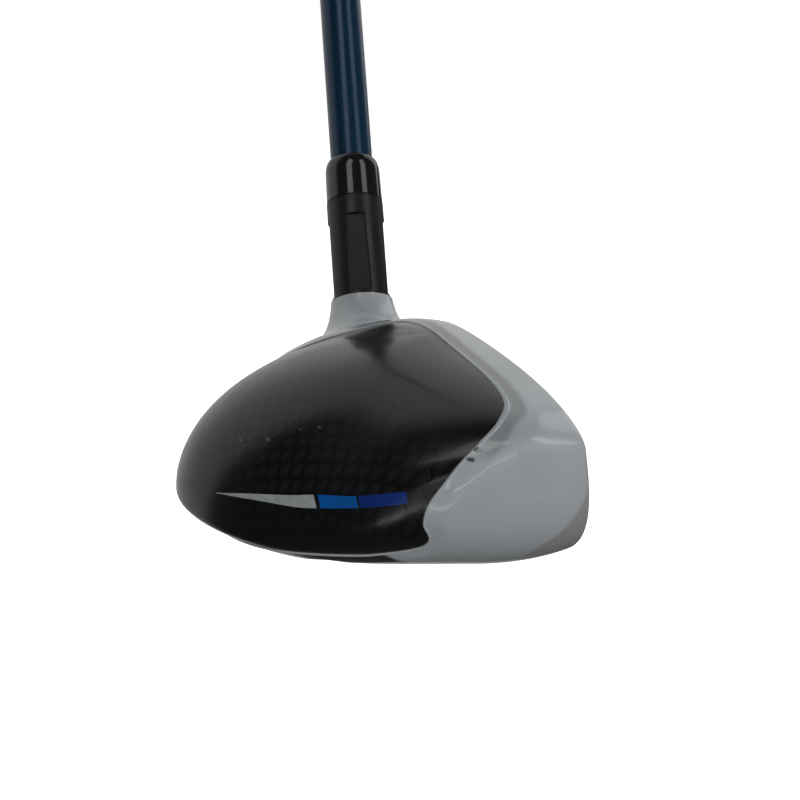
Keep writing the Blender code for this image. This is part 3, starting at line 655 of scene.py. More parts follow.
def painted_head():
    """Body shell with its hosel: fine outer surface, hollow inside, openings cut through."""
    body = mesh_object("painted_head", HEAD_POINTS, HEAD_QUADS)
    cavity = form_object("cut_cavity", SHELL_WALL)
    carve(cavity, [
        ("DIFFERENCE", face_slab("cut_front", (-FAR, FAR), SLAB_HEIGHTS, (-FAR, FRONT_WALL))),
        ("DIFFERENCE", turned("cut_core", [(0, -FAR), (HOSEL_CORE, -FAR),
                                           (HOSEL_CORE, FAR), (0, FAR)]))])
    window = form_object("cut_window", FACE_RIM - FACE_PLAY)
    carve(window, [("INTERSECT", face_slab(
        "cut_slab", (-FAR, FACE_HEEL_END + FACE_PLAY), SLAB_HEIGHTS,
        (-2 * MM, FACE_PLATE + FACE_SEAT)))])
    recess = sole_bar("cut_recess", INLAY_CENTRE, INLAY_HALF_LENGTH, INLAY_HALF_WIDTH)
    carve(recess, [("DIFFERENCE", form_object("cut_floor", INLAY_FLOOR))])
    bore = turned("cut_bore", [
        (0, -FAR), (SCREW_POCKET, -FAR), (SCREW_POCKET, SHELF_BOTTOM), (SCREW_BORE, SHELF_BOTTOM),
        (SCREW_BORE, HOSEL_FLOOR), (HOSEL_BORE, HOSEL_FLOOR), (HOSEL_BORE, HOSEL_TOP - BORE_CHAMFER),
        (HOSEL_BORE + BORE_CHAMFER, HOSEL_TOP), (HOSEL_BORE + BORE_CHAMFER, FAR), (0, FAR)])
    above = turned("cut_above", [(0, HOSEL_TOP), (14 * MM, HOSEL_TOP), (14 * MM, 60 * MM), (0, 60 * MM)])
    carve(body, [
        ("DIFFERENCE", above), ("DIFFERENCE", bore), ("DIFFERENCE", cavity),
        ("DIFFERENCE", crown_block("cut_crown", 0.0)),
        ("DIFFERENCE", window), ("DIFFERENCE", recess),
        ("DIFFERENCE", sole_bar("cut_slot", SLOT_CENTRE, SLOT_HALF_LENGTH, SLOT_HALF_WIDTH))])
    polish(body, head)
    return body


def crown_panel():
    """Black rear panel, a thin shell that sits just below the paint round it."""
    slope = unit_rows(gradient(head, HEAD_POINTS))
    panel = mesh_object("crown_panel", HEAD_POINTS - slope * PANEL_SINK, HEAD_QUADS)
    carve(panel, [("INTERSECT", crown_block("cut_keep", -PANEL_PLAY)),
                  ("DIFFERENCE", form_object("cut_inside", PANEL_WALL))])
    polish(panel, lambda x, y, z: head(x, y, z) + PANEL_SINK)
    return panel


def face_plate():
    plate = form_object("face_plate", FACE_RIM)
    carve(plate, [("INTERSECT", face_slab(
        "cut_plate", (-FAR, FACE_HEEL_END), SLAB_HEIGHTS, (0.0, FACE_PLATE),
        columns=120, rows=50))])
    cutters = []
    for line in range(GROOVE_COUNT):
        z = GROOVE_FIRST_Z + line * GROOVE_PITCH
        cutters.append(("DIFFERENCE", face_slab(
            f"cut_groove_{line}",
            (GROOVE_MIDDLE_X - GROOVE_HALF_LENGTH, GROOVE_MIDDLE_X + GROOVE_HALF_LENGTH),
            (z, z + GROOVE_WIDTH), (-MM, GROOVE_DEPTH), columns=40, rows=1)))
    carve(plate, cutters)
    return shade(plate, 25)


def joint_line(start, step=0.5 * MM):
    """Closed line on the head's surface round the crown panel, by walking along it."""

    def settle(point):
        for _ in range(4):
            one = gradient(head, point[None])[0]
            two = gradient(crown_side, point[None])[0]
            rest = np.array((head(*point), crown_side(*point)))
            move, *_ = np.linalg.lstsq(np.array((one, two)), -rest, rcond=None)
            point = point + np.clip(move, -2 * MM, 2 * MM)
        along = np.cross(one, two)
        return point, along / np.linalg.norm(along), one / np.linalg.norm(one)

    here, along, out = settle(np.array(start))
    line, normals = [here], [out]
    for _ in range(1200):
        here, along, out = settle(here + along * step)
        if len(line) > 20 and np.linalg.norm(here - line[0]) < 0.8 * step:
            break
        line.append(here)
        normals.append(out)
    return np.array(line), np.array(normals)


def joint_bead():
    """Rounded edge of the paint where it meets the crown panel."""
    line, out = joint_line((-0.010, 0.0008, CROWN_TOP))
    sides = 8
    along = unit_rows(np.roll(line, -1, axis=0) - np.roll(line, 1, axis=0))
    side = gradient(crown_side, line)
    side -= (side * along).sum(axis=1, keepdims=True) * along
    side -= (side * out).sum(axis=1, keepdims=True) * out
    side = unit_rows(side)
    centre = line + side * BEAD_OUT - out * BEAD_SINK
    points = []
    for k in range(sides):
        angle = math.tau * k / sides
        points.append(centre + BEAD_RADIUS * (math.cos(angle) * side + math.sin(angle) * out))
    points = np.stack(points, axis=1).reshape(-1, 3)
    bead = mesh_object("paint_edge", points, ring_faces(len(line), sides))
    turn_outwards(bead)
    bead.data.shade_smooth()
    return bead


def sole_inlay():
    inlay = sole_bar("sole_badge", INLAY_CENTRE, INLAY_HALF_LENGTH - GAP, INLAY_HALF_WIDTH - GAP)
    carve(inlay, [("INTERSECT", form_object("cut_outside", INLAY_SINK)),
                  ("DIFFERENCE", form_object("cut_inside", INLAY_DEPTH))])
    return shade(inlay, 30)


def window_cutter(name, turn):
    """Shallow tapered pocket in the sleeve's side, with sloping side walls."""
    floor, top = SLEEVE_COLLAR - WINDOW_DEPTH, SLEEVE_COLLAR + 1.5 * MM
    shape = bmesh.new()
    rings = []
    for radius, flare in ((floor, 0.0), (top, 1.0 * MM)):
        corners = []
        for side, height in ((-1, WINDOW_FOOT), (1, WINDOW_FOOT), (1, WINDOW_HEAD), (-1, WINDOW_HEAD)):
            widening = WINDOW_WIDENING * (WINDOW_HEAD - height) / (WINDOW_HEAD - WINDOW_FOOT)
            corners.append(shape.verts.new(
                (radius, side * (WINDOW_HALF_WIDTH + widening + flare), height)))
        shape.faces.new(corners)
        rings.append(corners)
    for k in range(4):
        after = (k + 1) % 4
        shape.faces.new((rings[0][k], rings[0][after], rings[1][after], rings[1][k]))
    bmesh.ops.bevel(shape, geom=[e for e in shape.edges], offset=0.12 * MM, segments=2,
                    affect="EDGES")
    bmesh.ops.transform(shape, matrix=AXIS_TURN @ Matrix.Rotation(turn, 4, "Z"), verts=shape.verts)
    return from_bmesh(name, shape)


def hosel_sleeve():
    """Loft sleeve: toothed foot, barrel inside the hosel, collar with four relief windows."""
    barrel, collar_foot, edge = HOSEL_BORE - 0.1 * MM, HOSEL_TOP + JOINT_GAP, 0.15 * MM
    sleeve = turned("hosel_sleeve", [
        (0, SLEEVE_FOOT), (barrel - edge, SLEEVE_FOOT), (barrel, SLEEVE_FOOT + edge),
        (barrel, collar_foot), (SLEEVE_COLLAR - edge, collar_foot),
        (SLEEVE_COLLAR, collar_foot + edge), (SLEEVE_COLLAR - SLEEVE_TAPER, SLEEVE_TOP - edge),
        (SLEEVE_COLLAR - SLEEVE_TAPER - edge, SLEEVE_TOP), (0, SLEEVE_TOP)], sides=144)
    outline = []
    pitch = math.tau / SPLINE_TEETH
    for tooth in range(SPLINE_TEETH):
        for turn, radius in ((-0.36, SPLINE_ROOT), (-0.2, SPLINE_TIP), (0.0, SPLINE_TIP),
                             (0.2, SPLINE_TIP), (0.36, SPLINE_ROOT)):
            angle = (tooth + turn) * pitch
            outline.append((radius * math.cos(angle), radius * math.sin(angle)))
    shape = extruded(outline, TOOTH_FOOT, TOOTH_LENGTH, "Z")
    bmesh.ops.transform(shape, matrix=AXIS_TURN, verts=shape.verts)
    bore = turned("cut_sleeve_bore", [
        (0, 14 * MM), (THREAD_BORE, 14 * MM), (THREAD_BORE, THREAD_TOP), (SCREW_BORE, THREAD_TOP),
        (SCREW_BORE, SHAFT_SEAT), (SHAFT_BORE, SHAFT_SEAT), (SHAFT_BORE, 62 * MM), (0, 62 * MM)])
    steps = [("UNION", from_bmesh("cut_teeth", shape)), ("DIFFERENCE", bore)]
    for k in range(WINDOW_COUNT):
        steps.append(("DIFFERENCE", window_cutter(f"cut_window_{k}",
                                                  WINDOW_TURN + math.tau * k / WINDOW_COUNT)))
    carve(sleeve, steps)
    return shade(sleeve, 20)


def arc(centre, radius, start, end, steps=6):
    """(radius, height) points on a quarter round, angles in degrees."""
    return [(centre[0] + radius * math.cos(math.radians(a)),
             centre[1] + radius * math.sin(math.radians(a))) for a in np.linspace(start, end, steps)]


def ferrule_ring():
    bore, foot = SHAFT_BORE, SLEEVE_TOP + JOINT_GAP
    shoulder = FERRULE_TOP - FERRULE_CROWN
    profile = [(bore, foot), (FERRULE_RADIUS, foot), (FERRULE_RADIUS + 0.1 * MM, foot + 0.1 * MM)]
    lip = bore + 0.15 * MM
    for angle in np.linspace(0, math.pi / 2, 14):
        profile.append((lip + (FERRULE_RADIUS - lip) * math.cos(angle),
                        shoulder + FERRULE_CROWN * math.sin(angle)))
    profile.append((bore, FERRULE_TOP))
    return turned("ferrule_ring", profile, closed=True, sides=128)


def shaft_radius(height):
    share = (height - SHAFT_PARALLEL) / (CLUB_LENGTH - SHAFT_PARALLEL)
    return SHAFT_TIP_RADIUS + (SHAFT_BUTT_RADIUS - SHAFT_TIP_RADIUS) * np.maximum(share, 0.0)


def painted_shaft():
    end = CLUB_LENGTH - CAP_THICKNESS - GAP
    heights = np.concatenate((np.array((22.0 * MM,)), np.linspace(SHAFT_PARALLEL, end, 30)))
    outer = [(shaft_radius(h), h) for h in heights]
    inner = [(shaft_radius(h) - 1.3 * MM, h) for h in heights]
    return turned("painted_shaft", inner + outer[::-1], closed=True, sides=96)


def rubber_grip():
    """Tapered rubber grip: hatched grooves between a plain mouth band and a plain butt band."""
    low, high = CLUB_LENGTH - GRIP_LENGTH, CLUB_LENGTH - CAP_THICKNESS - GAP
    rows, columns = ((400, 108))
    height = np.linspace(low, high, rows + 1)
    angle = np.arange(columns) * math.tau / columns
    h, a = np.meshgrid(height, angle, indexing="ij")
    share = (h - low) / (high - low)
    wall = GRIP_MOUTH_WALL + (GRIP_BUTT_WALL - GRIP_MOUTH_WALL) * share
    outer = shaft_radius(h) + TAPE_THICKNESS + wall
    turns = a / math.tau * GRIP_HATCH
    climb = (h - low) / GRIP_PITCH
    hatch = np.minimum(np.abs((turns + climb) % 1.0 - 0.5), np.abs((turns - climb) % 1.0 - 0.5))
    groove = 1.0 - smooth_step(hatch / 0.13)
    band = smooth_step((h - low - 14 * MM) / (2 * MM)) * smooth_step((high - 12 * MM - h) / (2 * MM))
    for place in GRIP_PLAIN_BANDS:
        band = band * smooth_step((np.abs(h - low - place * GRIP_LENGTH) - 2.2 * MM) / (1.2 * MM))
    relief = GRIP_RELIEF * groove * band
    for ring in GRIP_MOUTH_RINGS:
        relief = relief + GRIP_RELIEF * (1 - smooth_step(np.abs(h - low - ring) / (0.7 * MM)))
    edge = np.minimum(h - low, GRIP_EDGE) - GRIP_EDGE
    outer = outer - relief - GRIP_EDGE + np.sqrt(np.maximum(GRIP_EDGE**2 - edge**2, 0.0))
    bore = shaft_radius(height) + TAPE_THICKNESS
    points = []
    for k in range(rows + 1):
        points.extend(zip(outer[k] * np.cos(angle), outer[k] * np.sin(angle), h[k]))
    for k in range(rows, -1, -rows // 8):
        points.extend((bore[k] * math.cos(t), bore[k] * math.sin(t), height[k]) for t in angle)
    grip = mesh_object("rubber_grip", points, ring_faces(len(points) // columns, columns))
    grip.data.transform(AXIS_TURN)
    return shade(grip, 50)


def butt_cap():
    foot = CLUB_LENGTH - CAP_THICKNESS
    radius = shaft_radius(foot) + TAPE_THICKNESS + GRIP_BUTT_WALL
    vent, dish = 1.5 * MM, 0.5 * MM
    profile = [(vent, foot), (radius - 0.1 * MM, foot), (radius + 0.3 * MM, foot + 0.5 * MM)]
    profile += arc((radius - 1.7 * MM, CLUB_LENGTH - 2 * MM), 2.0 * MM, 0, 90, 9)
    profile += [(0.62 * radius, CLUB_LENGTH), (0.56 * radius, CLUB_LENGTH - dish),
                (vent + dish, CLUB_LENGTH - dish), (vent, CLUB_LENGTH - 1.3 * dish)]
    return turned("butt_cap", profile, closed=True, sides=96)


def sole_screw():
    head, stem, chamfer = 4.3 * MM, 2.45 * MM, 0.4 * MM
    foot, top, tip = 8.0 * MM, 12.1 * MM, 20.6 * MM
    profile = [(0, foot)] + arc((head - chamfer, foot + chamfer), chamfer, -90, 0)
    profile += [(head, top - 0.1 * MM), (head - 0.1 * MM, top), (stem, top)]
    for height in np.arange(top + 1.0 * MM, tip - 0.8 * MM, 0.8 * MM):
        profile += [(stem, height), (stem - 0.3 * MM, height + 0.4 * MM)]
    profile += [(stem, tip - chamfer), (stem - chamfer, tip), (0, tip)]
    screw = turned("sole_screw", profile, sides=72)
    star = []
    for k in range(72):
        angle = math.tau * k / 72
        star.append((((1.9 + 0.3 * math.cos(6 * angle)) * MM) * math.cos(angle),
                     ((1.9 + 0.3 * math.cos(6 * angle)) * MM) * math.sin(angle)))
    shape = extruded(star, foot - MM, 3.4 * MM, "Z")
    bmesh.ops.transform(shape, matrix=AXIS_TURN, verts=shape.verts)
    carve(screw, [("DIFFERENCE", from_bmesh("cut_socket", shape))])
    return shade(screw, 30)


def crown_stripe(name, start, end):
    """Thin painted band on the toe side of the crown panel, between two shares of its length."""
    top, bottom = spline(STRIPE_TOP, 12), spline(STRIPE_BOTTOM, 12)

    def along(line, share):
        runs = np.concatenate(((0.0,), np.cumsum(np.linalg.norm(np.diff(line, axis=0), axis=1))))
        return np.stack([np.interp(share * runs[-1], runs, line[:, k]) for k in range(3)], axis=1)

    columns, rows = max(int(abs(end - start) * 80), 8), 6
    share = np.linspace(start, end, columns + 1)
    points = []
    for row in range(rows + 1):
        height = row / rows
        slanted = np.clip(share + STRIPE_SLANT * (height - 0.5) * smooth_step(share * 4), 0.0, 1.05)
        points.append(along(bottom, slanted) * (1 - height) + along(top, slanted) * height)
    points = onto(lambda x, y, z: head(x, y, z) + PANEL_SINK, np.vstack(points), reach=3 * MM)
    slope = unit_rows(gradient(head, points))
    size = len(points)
    both = np.vstack((points + slope * STRIPE_RISE, points - slope * STRIPE_ROOT))
    faces = []
    for row in range(rows):
        for column in range(columns):
            a = row * (columns + 1) + column
            ring = (a, a + 1, a + columns + 2, a + columns + 1)
            faces.append(ring)
            faces.append(tuple(size + k for k in reversed(ring)))
    border = [r * (columns + 1) + c for c, r in grid_border(columns, rows)]
    for here, after in zip(border, border[1:] + border[:1]):
        faces.append((after, here, size + here, size + after))
    stripe = mesh_object(name, both, faces)
    turn_outwards(stripe)
    return shade(stripe, 40)


# ==== materials ===========================================================================

def shaded(colour, factor):
    return tuple(factor * c for c in colour)


class Finish:
    """A Principled material built up from procedural parts, in object coordinates."""

    def __init__(self, name, colour, roughness, metallic=0.0, **sockets):
        self.material = bpy.data.materials.new(name)
        self.material.use_nodes = True
        self.tree = self.material.node_tree
        self.shader = self.tree.nodes["Principled BSDF"]
        self.place = self.node("ShaderNodeTexCoord").outputs["Object"]
        self.set("Base Color", (*colour, 1.0))
        self.set("Roughness", roughness)
        self.set("Metallic", metallic)
        for socket, value in sockets.items():
            self.set(socket.replace("_", " ").title().replace("Ior", "IOR"), value)

    def set(self, socket, value):
        if isinstance(value, bpy.types.NodeSocket):
            self.tree.links.new(value, self.shader.inputs[socket])
        else:
            self.shader.inputs[socket].default_value = value

    def node(self, kind, *values, **settings):
        made = self.tree.nodes.new(kind)
        for key, value in settings.items():
            setattr(made, key, value)
        for socket, value in zip(made.inputs, values):
            if isinstance(value, bpy.types.NodeSocket):
                self.tree.links.new(value, socket)
            elif value is not None:
                socket.default_value = value
        return made

    def maths(self, operation, *values):
        return self.node("ShaderNodeMath", *values, operation=operation).outputs[0]

    def vector(self, operation, *values):
        made = self.node("ShaderNodeVectorMath", *values, operation=operation)
        return made.outputs["Value" if operation in ("DOT_PRODUCT", "LENGTH") else "Vector"]

    def ramp(self, value, low, high, to_low=0.0, to_high=1.0):
        return self.node("ShaderNodeMapRange", value, low, high, to_low, to_high,
                         interpolation_type="SMOOTHSTEP").outputs[0]

    def noise(self, size, detail=2.0, stretch=(1.0, 1.0, 1.0), place=None):
        """Noise with features of about that size in metres, stretched along the axes."""
        scaled = self.vector("MULTIPLY", place or self.place, tuple(1 / (size * s) for s in stretch))
        made = self.node("ShaderNodeTexNoise")
        self.tree.links.new(scaled, made.inputs["Vector"])
        made.inputs["Scale"].default_value = 1.0
        made.inputs["Detail"].default_value = detail
        return made.outputs["Fac"]

    def blend(self, share, first, second):
        made = self.node("ShaderNodeMix", data_type="RGBA")
        for index, value in ((0, share), (6, first), (7, second)):
            if isinstance(value, bpy.types.NodeSocket):
                self.tree.links.new(value, made.inputs[index])
            else:
                made.inputs[index].default_value = value if index == 0 else (*value, 1.0)
        return made.outputs[2]

    def attribute(self, name, output="Fac"):
        return self.node("ShaderNodeAttribute", attribute_name=name).outputs[output]

    def bump(self, height, distance, strength=1.0, under=None):
        made = self.node("ShaderNodeBump", strength, distance)
        self.tree.links.new(height, made.inputs["Height"])
        if under is not None:
            self.tree.links.new(under, made.inputs["Normal"])
        self.set("Normal", made.outputs[0])
        return made.outputs[0]

    def spot(self, centre, size):
        """1 inside a small ellipsoid about a point, 0 outside, with a ragged edge."""
        offset = self.vector("SUBTRACT", self.place, centre)
        scaled = self.vector("MULTIPLY", offset, tuple(1 / s for s in size))
        ragged = self.ramp(self.noise(0.25 * MM), 0.2, 0.8, -0.35, 0.35)
        reach = self.maths("ADD", self.vector("LENGTH", scaled), ragged)
        return self.ramp(reach, 0.8, 1.1, 1.0, 0.0)

    def spotted(self, tone, spots, colour):
        """The tone with spots in another colour, each a (centre, size) in millimetres."""
        for centre, size in spots:
            tone = self.blend(self.spot(shaded(centre, MM), shaded(size, MM)), tone, colour)
        return tone


def head_finish():
    """White paint over steel that is bare on the face side, leading edge and sole, with painted shade
    beside the crown panel.
    """
    white, steel = (0.40, 0.425, 0.44), (0.46, 0.455, 0.445)
    made = Finish("white_paint_and_steel", white, 0.2, coat_weight=0.6, coat_roughness=0.06)
    paint = made.ramp(made.attribute("paint_side"), -0.05, 0.05)
    cloud = made.ramp(made.noise(16 * MM), 0.35, 0.65)
    tone = made.blend(cloud, shaded(white, 0.94), shaded(white, 1.03))
    dirt = made.ramp(made.noise(2.2 * MM, detail=6.0), 0.62, 0.72, 0.0, 0.25)
    tone = made.blend(dirt, tone, (0.30, 0.31, 0.31))
    tone = made.spotted(tone, CHIPS, (0.07, 0.07, 0.075))
    grain = made.noise(0.25 * MM, detail=3.0, stretch=(9.0, 1.0, 1.0))
    metal = made.blend(made.ramp(grain, 0.3, 0.7), shaded(steel, 0.75), steel)
    # painted shade: the paint is darkened to 0.6 of its white in the band beside the crown panel's
    # joint, standing in for the valley's shade
    tone = made.blend(made.attribute("valley_painted_shade"), tone, shaded(white, 0.6))
    tone = made.blend(made.attribute("under_skirt"), tone, (0.014, 0.0145, 0.015))
    made.set("Base Color", made.blend(paint, metal, tone))
    made.set("Metallic", made.ramp(paint, 0.0, 1.0, 0.25, 0.0))
    smear = made.ramp(made.noise(9 * MM, detail=4.0), 0.3, 0.7, 0.14, 0.24)
    brushed = made.ramp(grain, 0.2, 0.8, 0.32, 0.5)
    made.set("Roughness", made.node("ShaderNodeMix", paint, None, brushed, smear).outputs[0])
    peel = made.bump(made.noise(0.9 * MM), 0.012 * MM)
    made.bump(made.maths("MULTIPLY", grain, made.ramp(paint, 0.0, 1.0, 1.0, 0.0)), 0.02 * MM,
              under=peel)
    return made.material


def hexagons(made, flat, size):
    """Distance from the middle of the nearest cell of a honeycomb, 1 at its border."""
    unit = (1.0, math.sqrt(3.0), 1.0)
    half = tuple(0.5 * u for u in unit)
    scaled = made.vector("MULTIPLY", flat, (1 / size, 1 / size, 0.0))
    distances = []
    for shift in (200.0, 200.5):
        moved = made.vector("ADD", scaled, (shift, shift * unit[1], 0.0))
        cell = made.vector("SUBTRACT", made.vector("MODULO", moved, unit), half)
        folded = made.vector("ABSOLUTE", cell)
        slanted = made.vector("DOT_PRODUCT", folded, (0.5, math.sqrt(0.75), 0.0))
        straight = made.vector("DOT_PRODUCT", folded, (1.0, 0.0, 0.0))
        distances.append(made.maths("MULTIPLY", made.maths("MAXIMUM", slanted, straight), 2.0))
    return made.maths("MINIMUM", *distances)


def crown_finish():
    """Satin black with a faint honeycomb on its lower part, fine scratches and small nicks."""
    made = Finish("black_crown_lacquer", (0.004, 0.0045, 0.0055), 0.22, specular_ior_level=0.5,
                  coat_weight=0.3, coat_roughness=0.12)
    cell = hexagons(made, made.attribute("lay", "Vector"), 2.1 * MM)
    line = made.ramp(cell, 0.72, 0.98)
    depth = made.attribute("skirt_share")
    fade = made.maths("MULTIPLY", made.ramp(depth, 0.12, 0.35), made.ramp(depth, 0.5, 0.75, 1.0, 0.25))
    rows = made.maths("MULTIPLY", line, fade)
    tone = made.blend(made.maths("MULTIPLY", made.ramp(cell, 0.9, 0.2), fade),
                      (0.0022, 0.0027, 0.0034), (0.0075, 0.0080, 0.0090))
    tone = made.blend(rows, tone, (0.0005, 0.0006, 0.0008))
    long = made.noise(0.16 * MM, detail=1.0, stretch=(30.0, 2.5, 6.0))
    patches = made.ramp(made.noise(9 * MM), 0.5, 0.62)
    scratch = made.maths("MULTIPLY", made.ramp(long, 0.70, 0.74), patches)
    tone = made.blend(made.maths("MULTIPLY", scratch, 0.35), tone, (0.05, 0.055, 0.055))
    tone = made.spotted(tone, NICKS, (0.06, 0.065, 0.065))
    made.set("Base Color", tone)
    smear = made.ramp(made.noise(7 * MM, detail=5.0), 0.3, 0.7, 0.17, 0.27)
    made.set("Roughness", made.maths("ADD", smear, made.maths("MULTIPLY", rows, 0.05)))
    made.bump(rows, 0.006 * MM)
    return made.material


def metal_finish(name, colour, roughness, grain=(8.0, 1.0, 1.0), size=0.2 * MM, depth=0.012 * MM):
    made = Finish(name, colour, roughness, 0.6)
    line = made.noise(size, detail=3.0, stretch=grain)
    cloud = made.ramp(made.noise(5 * MM, detail=3.0), 0.3, 0.7)
    tone = made.blend(cloud, shaded(colour, 0.85), shaded(colour, 1.08))
    grooves = made.ramp(line, 0.25, 0.75, 0.0, 0.35)
    made.set("Base Color", made.blend(grooves, tone, shaded(colour, 0.6)))
    made.set("Roughness", made.ramp(line, 0.2, 0.8, 0.85 * roughness, 1.2 * roughness))
    made.bump(line, depth)
    return made.material


def polymer_finish(name, colour, roughness, size=0.35 * MM, depth=0.02 * MM, **sockets):
    """Moulded or coated surface with a fine grain, light handling marks and a little dust."""
    made = Finish(name, colour, roughness, **sockets)
    grain = made.noise(size, detail=2.0)
    wear = made.ramp(made.noise(3 * MM, detail=6.0), 0.60, 0.75, 0.0, 0.3)
    tone = made.blend(made.ramp(grain, 0.3, 0.7), shaded(colour, 0.85), shaded(colour, 1.12))
    made.set("Base Color", made.blend(wear, tone, tuple(1.6 * c + 0.01 for c in colour)))
    made.set("Roughness", made.ramp(made.noise(6 * MM, detail=4.0), 0.3, 0.7, 0.88 * roughness,
                                    1.12 * roughness))
    made.bump(grain, depth)
    return made.material


def shaft_finish():
    """Deep blue lacquer with fine flake under a clear coat."""
    deep, flake = (0.0015, 0.016, 0.040), (0.006, 0.055, 0.11)
    made = Finish("navy_lacquer", deep, 0.28, 0.35, coat_weight=0.4, coat_roughness=0.07,
                  coat_ior=1.4, specular_ior_level=0.3)
    grain = made.ramp(made.noise(0.12 * MM, detail=1.0), 0.48, 0.62)
    made.set("Base Color", made.blend(grain, deep, flake))
    made.set("Roughness", made.ramp(made.noise(8 * MM, detail=4.0), 0.3, 0.7, 0.22, 0.32))
    made.bump(made.noise(2.5 * MM), 0.01 * MM)
    return made.material


def rubber_finish():
    made = Finish("grip_rubber", (0.018, 0.018, 0.019), 0.62)
    grain = made.noise(0.3 * MM, detail=3.0)
    worn = made.ramp(made.noise(25 * MM, detail=3.0), 0.45, 0.7)
    made.set("Base Color", made.blend(worn, (0.014, 0.014, 0.015), (0.032, 0.031, 0.030)))
    made.set("Roughness", made.ramp(grain, 0.2, 0.8, 0.52, 0.78))
    made.bump(grain, 0.05 * MM)
    return made.material


def stripe_finish(name, colour):
    made = Finish(name, colour, 0.25, coat_weight=0.3, coat_roughness=0.12)
    cloud = made.ramp(made.noise(1.4 * MM, detail=4.0), 0.3, 0.7)
    made.set("Base Color", made.blend(cloud, shaded(colour, 0.9), shaded(colour, 1.08)))
    made.set("Roughness", made.ramp(made.noise(4 * MM), 0.3, 0.7, 0.2, 0.3))
    return made.material


def body_attributes(mesh):
    """Where the paint ends, the painted shade along the dip beside the crown panel, and the dark
    underside.
    """
    places = vertex_places(mesh)
    x, y, z = places.T
    store(mesh, "paint_side", paint_side(x, y, z))
    out, across = unit_rows(gradient(head, places), 1e-6), gradient(crown_side, places)
    across -= (across * out).sum(axis=1, keepdims=True) * out
    side = crown_side(x, y, z) / np.maximum(np.linalg.norm(across, axis=1), 0.1)
    # painted shade: a darker band on the paint along the valley beside the crown panel, kept to its
    # upper part
    valley_painted_shade = smooth_step((VALLEY_SHADE_REACH - side) / (0.6 * MM))
    valley_painted_shade *= smooth_step((side + 0.2 * MM) / MM) * smooth_step((z - VALLEY_SHADE_END_Z) / (3 * MM))
    store(mesh, "valley_painted_shade", valley_painted_shade)
    limit = np.minimum(2.2 * MM + 0.45 * (y - UNDER_SKIRT_Y), 10.0 * MM)
    under = smooth_step((y - UNDER_SKIRT_Y) / MM) * smooth_step((limit - z) / (0.7 * MM))
    store(mesh, "under_skirt", under)


def panel_attributes(mesh):
    """How the honeycomb lies on the crown panel, and how far down a place is."""
    x, y, z = vertex_places(mesh).T
    angle = np.arctan2(y, x - HEAD_CENTRE_X)
    drop = np.maximum(CROWN_TOP - z, 0.0)
    reach = (np.hypot(x - HEAD_CENTRE_X, y)**1.5 + drop**1.5)**(1 / 1.5)
    lay = np.stack((reach * np.cos(angle), 0.6 * reach * np.sin(angle), 0 * reach), axis=1)
    cosine, sine = math.cos(HONEYCOMB_TURN), math.sin(HONEYCOMB_TURN)
    store(mesh, "lay", lay @ np.array(((cosine, sine, 0), (-sine, cosine, 0), (0, 0, 1))))
    store(mesh, "skirt_share", drop / CROWN_TOP)


def paint_side(x, y, z):
    """Millimetres from the edge of the paint, positive on the paint."""
    height = np.clip(z / MM, 0.0, 26.0)
    edge = np.interp(height, PAINT_EDGE[:, 1], PAINT_EDGE[:, 0]) * MM
    behind = (y - face_y(x, z)) * math.cos(LOFT) - 0.5 * MM
    side = np.minimum(y - edge, behind) + 1.6 * np.maximum(x - (FACE_HEEL_END + 3 * MM), 0.0)
    side = np.minimum(side, z - SOLE_PAINT_Z)
    radius, height = axis_place(x, y, z)
    inner = radius - HOSEL_BORE - 0.2 * MM
    return np.minimum(side, inner) / MM


# ==== studio ==============================================================================

def area_light(name, azimuth, height, distance, size, power, glossy, aim):
    """Lamp at an azimuth, height and distance, aimed at a height above the origin."""
    light = bpy.data.lights.new(name, "AREA")
    light.shape, light.size, light.size_y, light.energy = "RECTANGLE", size[0], size[1], power
    item = linked(name, light)
    turn = math.radians(azimuth)
    item.location = (distance * math.cos(turn), distance * math.sin(turn), height)
    direction = Vector((0.0, 0.0, aim)) - item.location
    item.rotation_euler = direction.to_track_quat("-Z", "Y").to_euler()
    item.visible_glossy = glossy
    item.visible_camera = False
    return item


def studio():
    scene = bpy.context.scene
    scene.view_settings.view_transform = "Standard"
    world = bpy.data.worlds.new("studio")
    world.use_nodes = True
    scene.world = world
    tree = world.node_tree
    background = tree.nodes["Background"]
    background.inputs["Color"].default_value = (1.0, 1.0, 1.0, 1.0)
    place = tree.nodes.new("ShaderNodeTexCoord").outputs["Generated"]
    facing = tree.nodes.new("ShaderNodeVectorMath")
    facing.operation = "DOT_PRODUCT"
    tree.links.new(place, facing.inputs[0])
    facing.inputs[1].default_value = Vector(BRIGHT_SIDE).normalized()
    glow = tree.nodes.new("ShaderNodeMapRange")
    glow.interpolation_type = "SMOOTHSTEP"
    tree.links.new(facing.outputs["Value"], glow.inputs[0])
    for index, value in enumerate((0.40, 0.60, ROOM_LIGHT, BRIGHT_LIGHT)):
        glow.inputs[index + 1].default_value = value
    seen = tree.nodes.new("ShaderNodeLightPath").outputs["Is Camera Ray"]
    choice = tree.nodes.new("ShaderNodeMix")
    tree.links.new(seen, choice.inputs[0])
    tree.links.new(glow.outputs[0], choice.inputs[2])
    choice.inputs[3].default_value = 1.0
    tree.links.new(choice.outputs[0], background.inputs["Strength"])

    for light in LIGHTS:
        area_light(*light)
    white_floor()
    photo_camera()


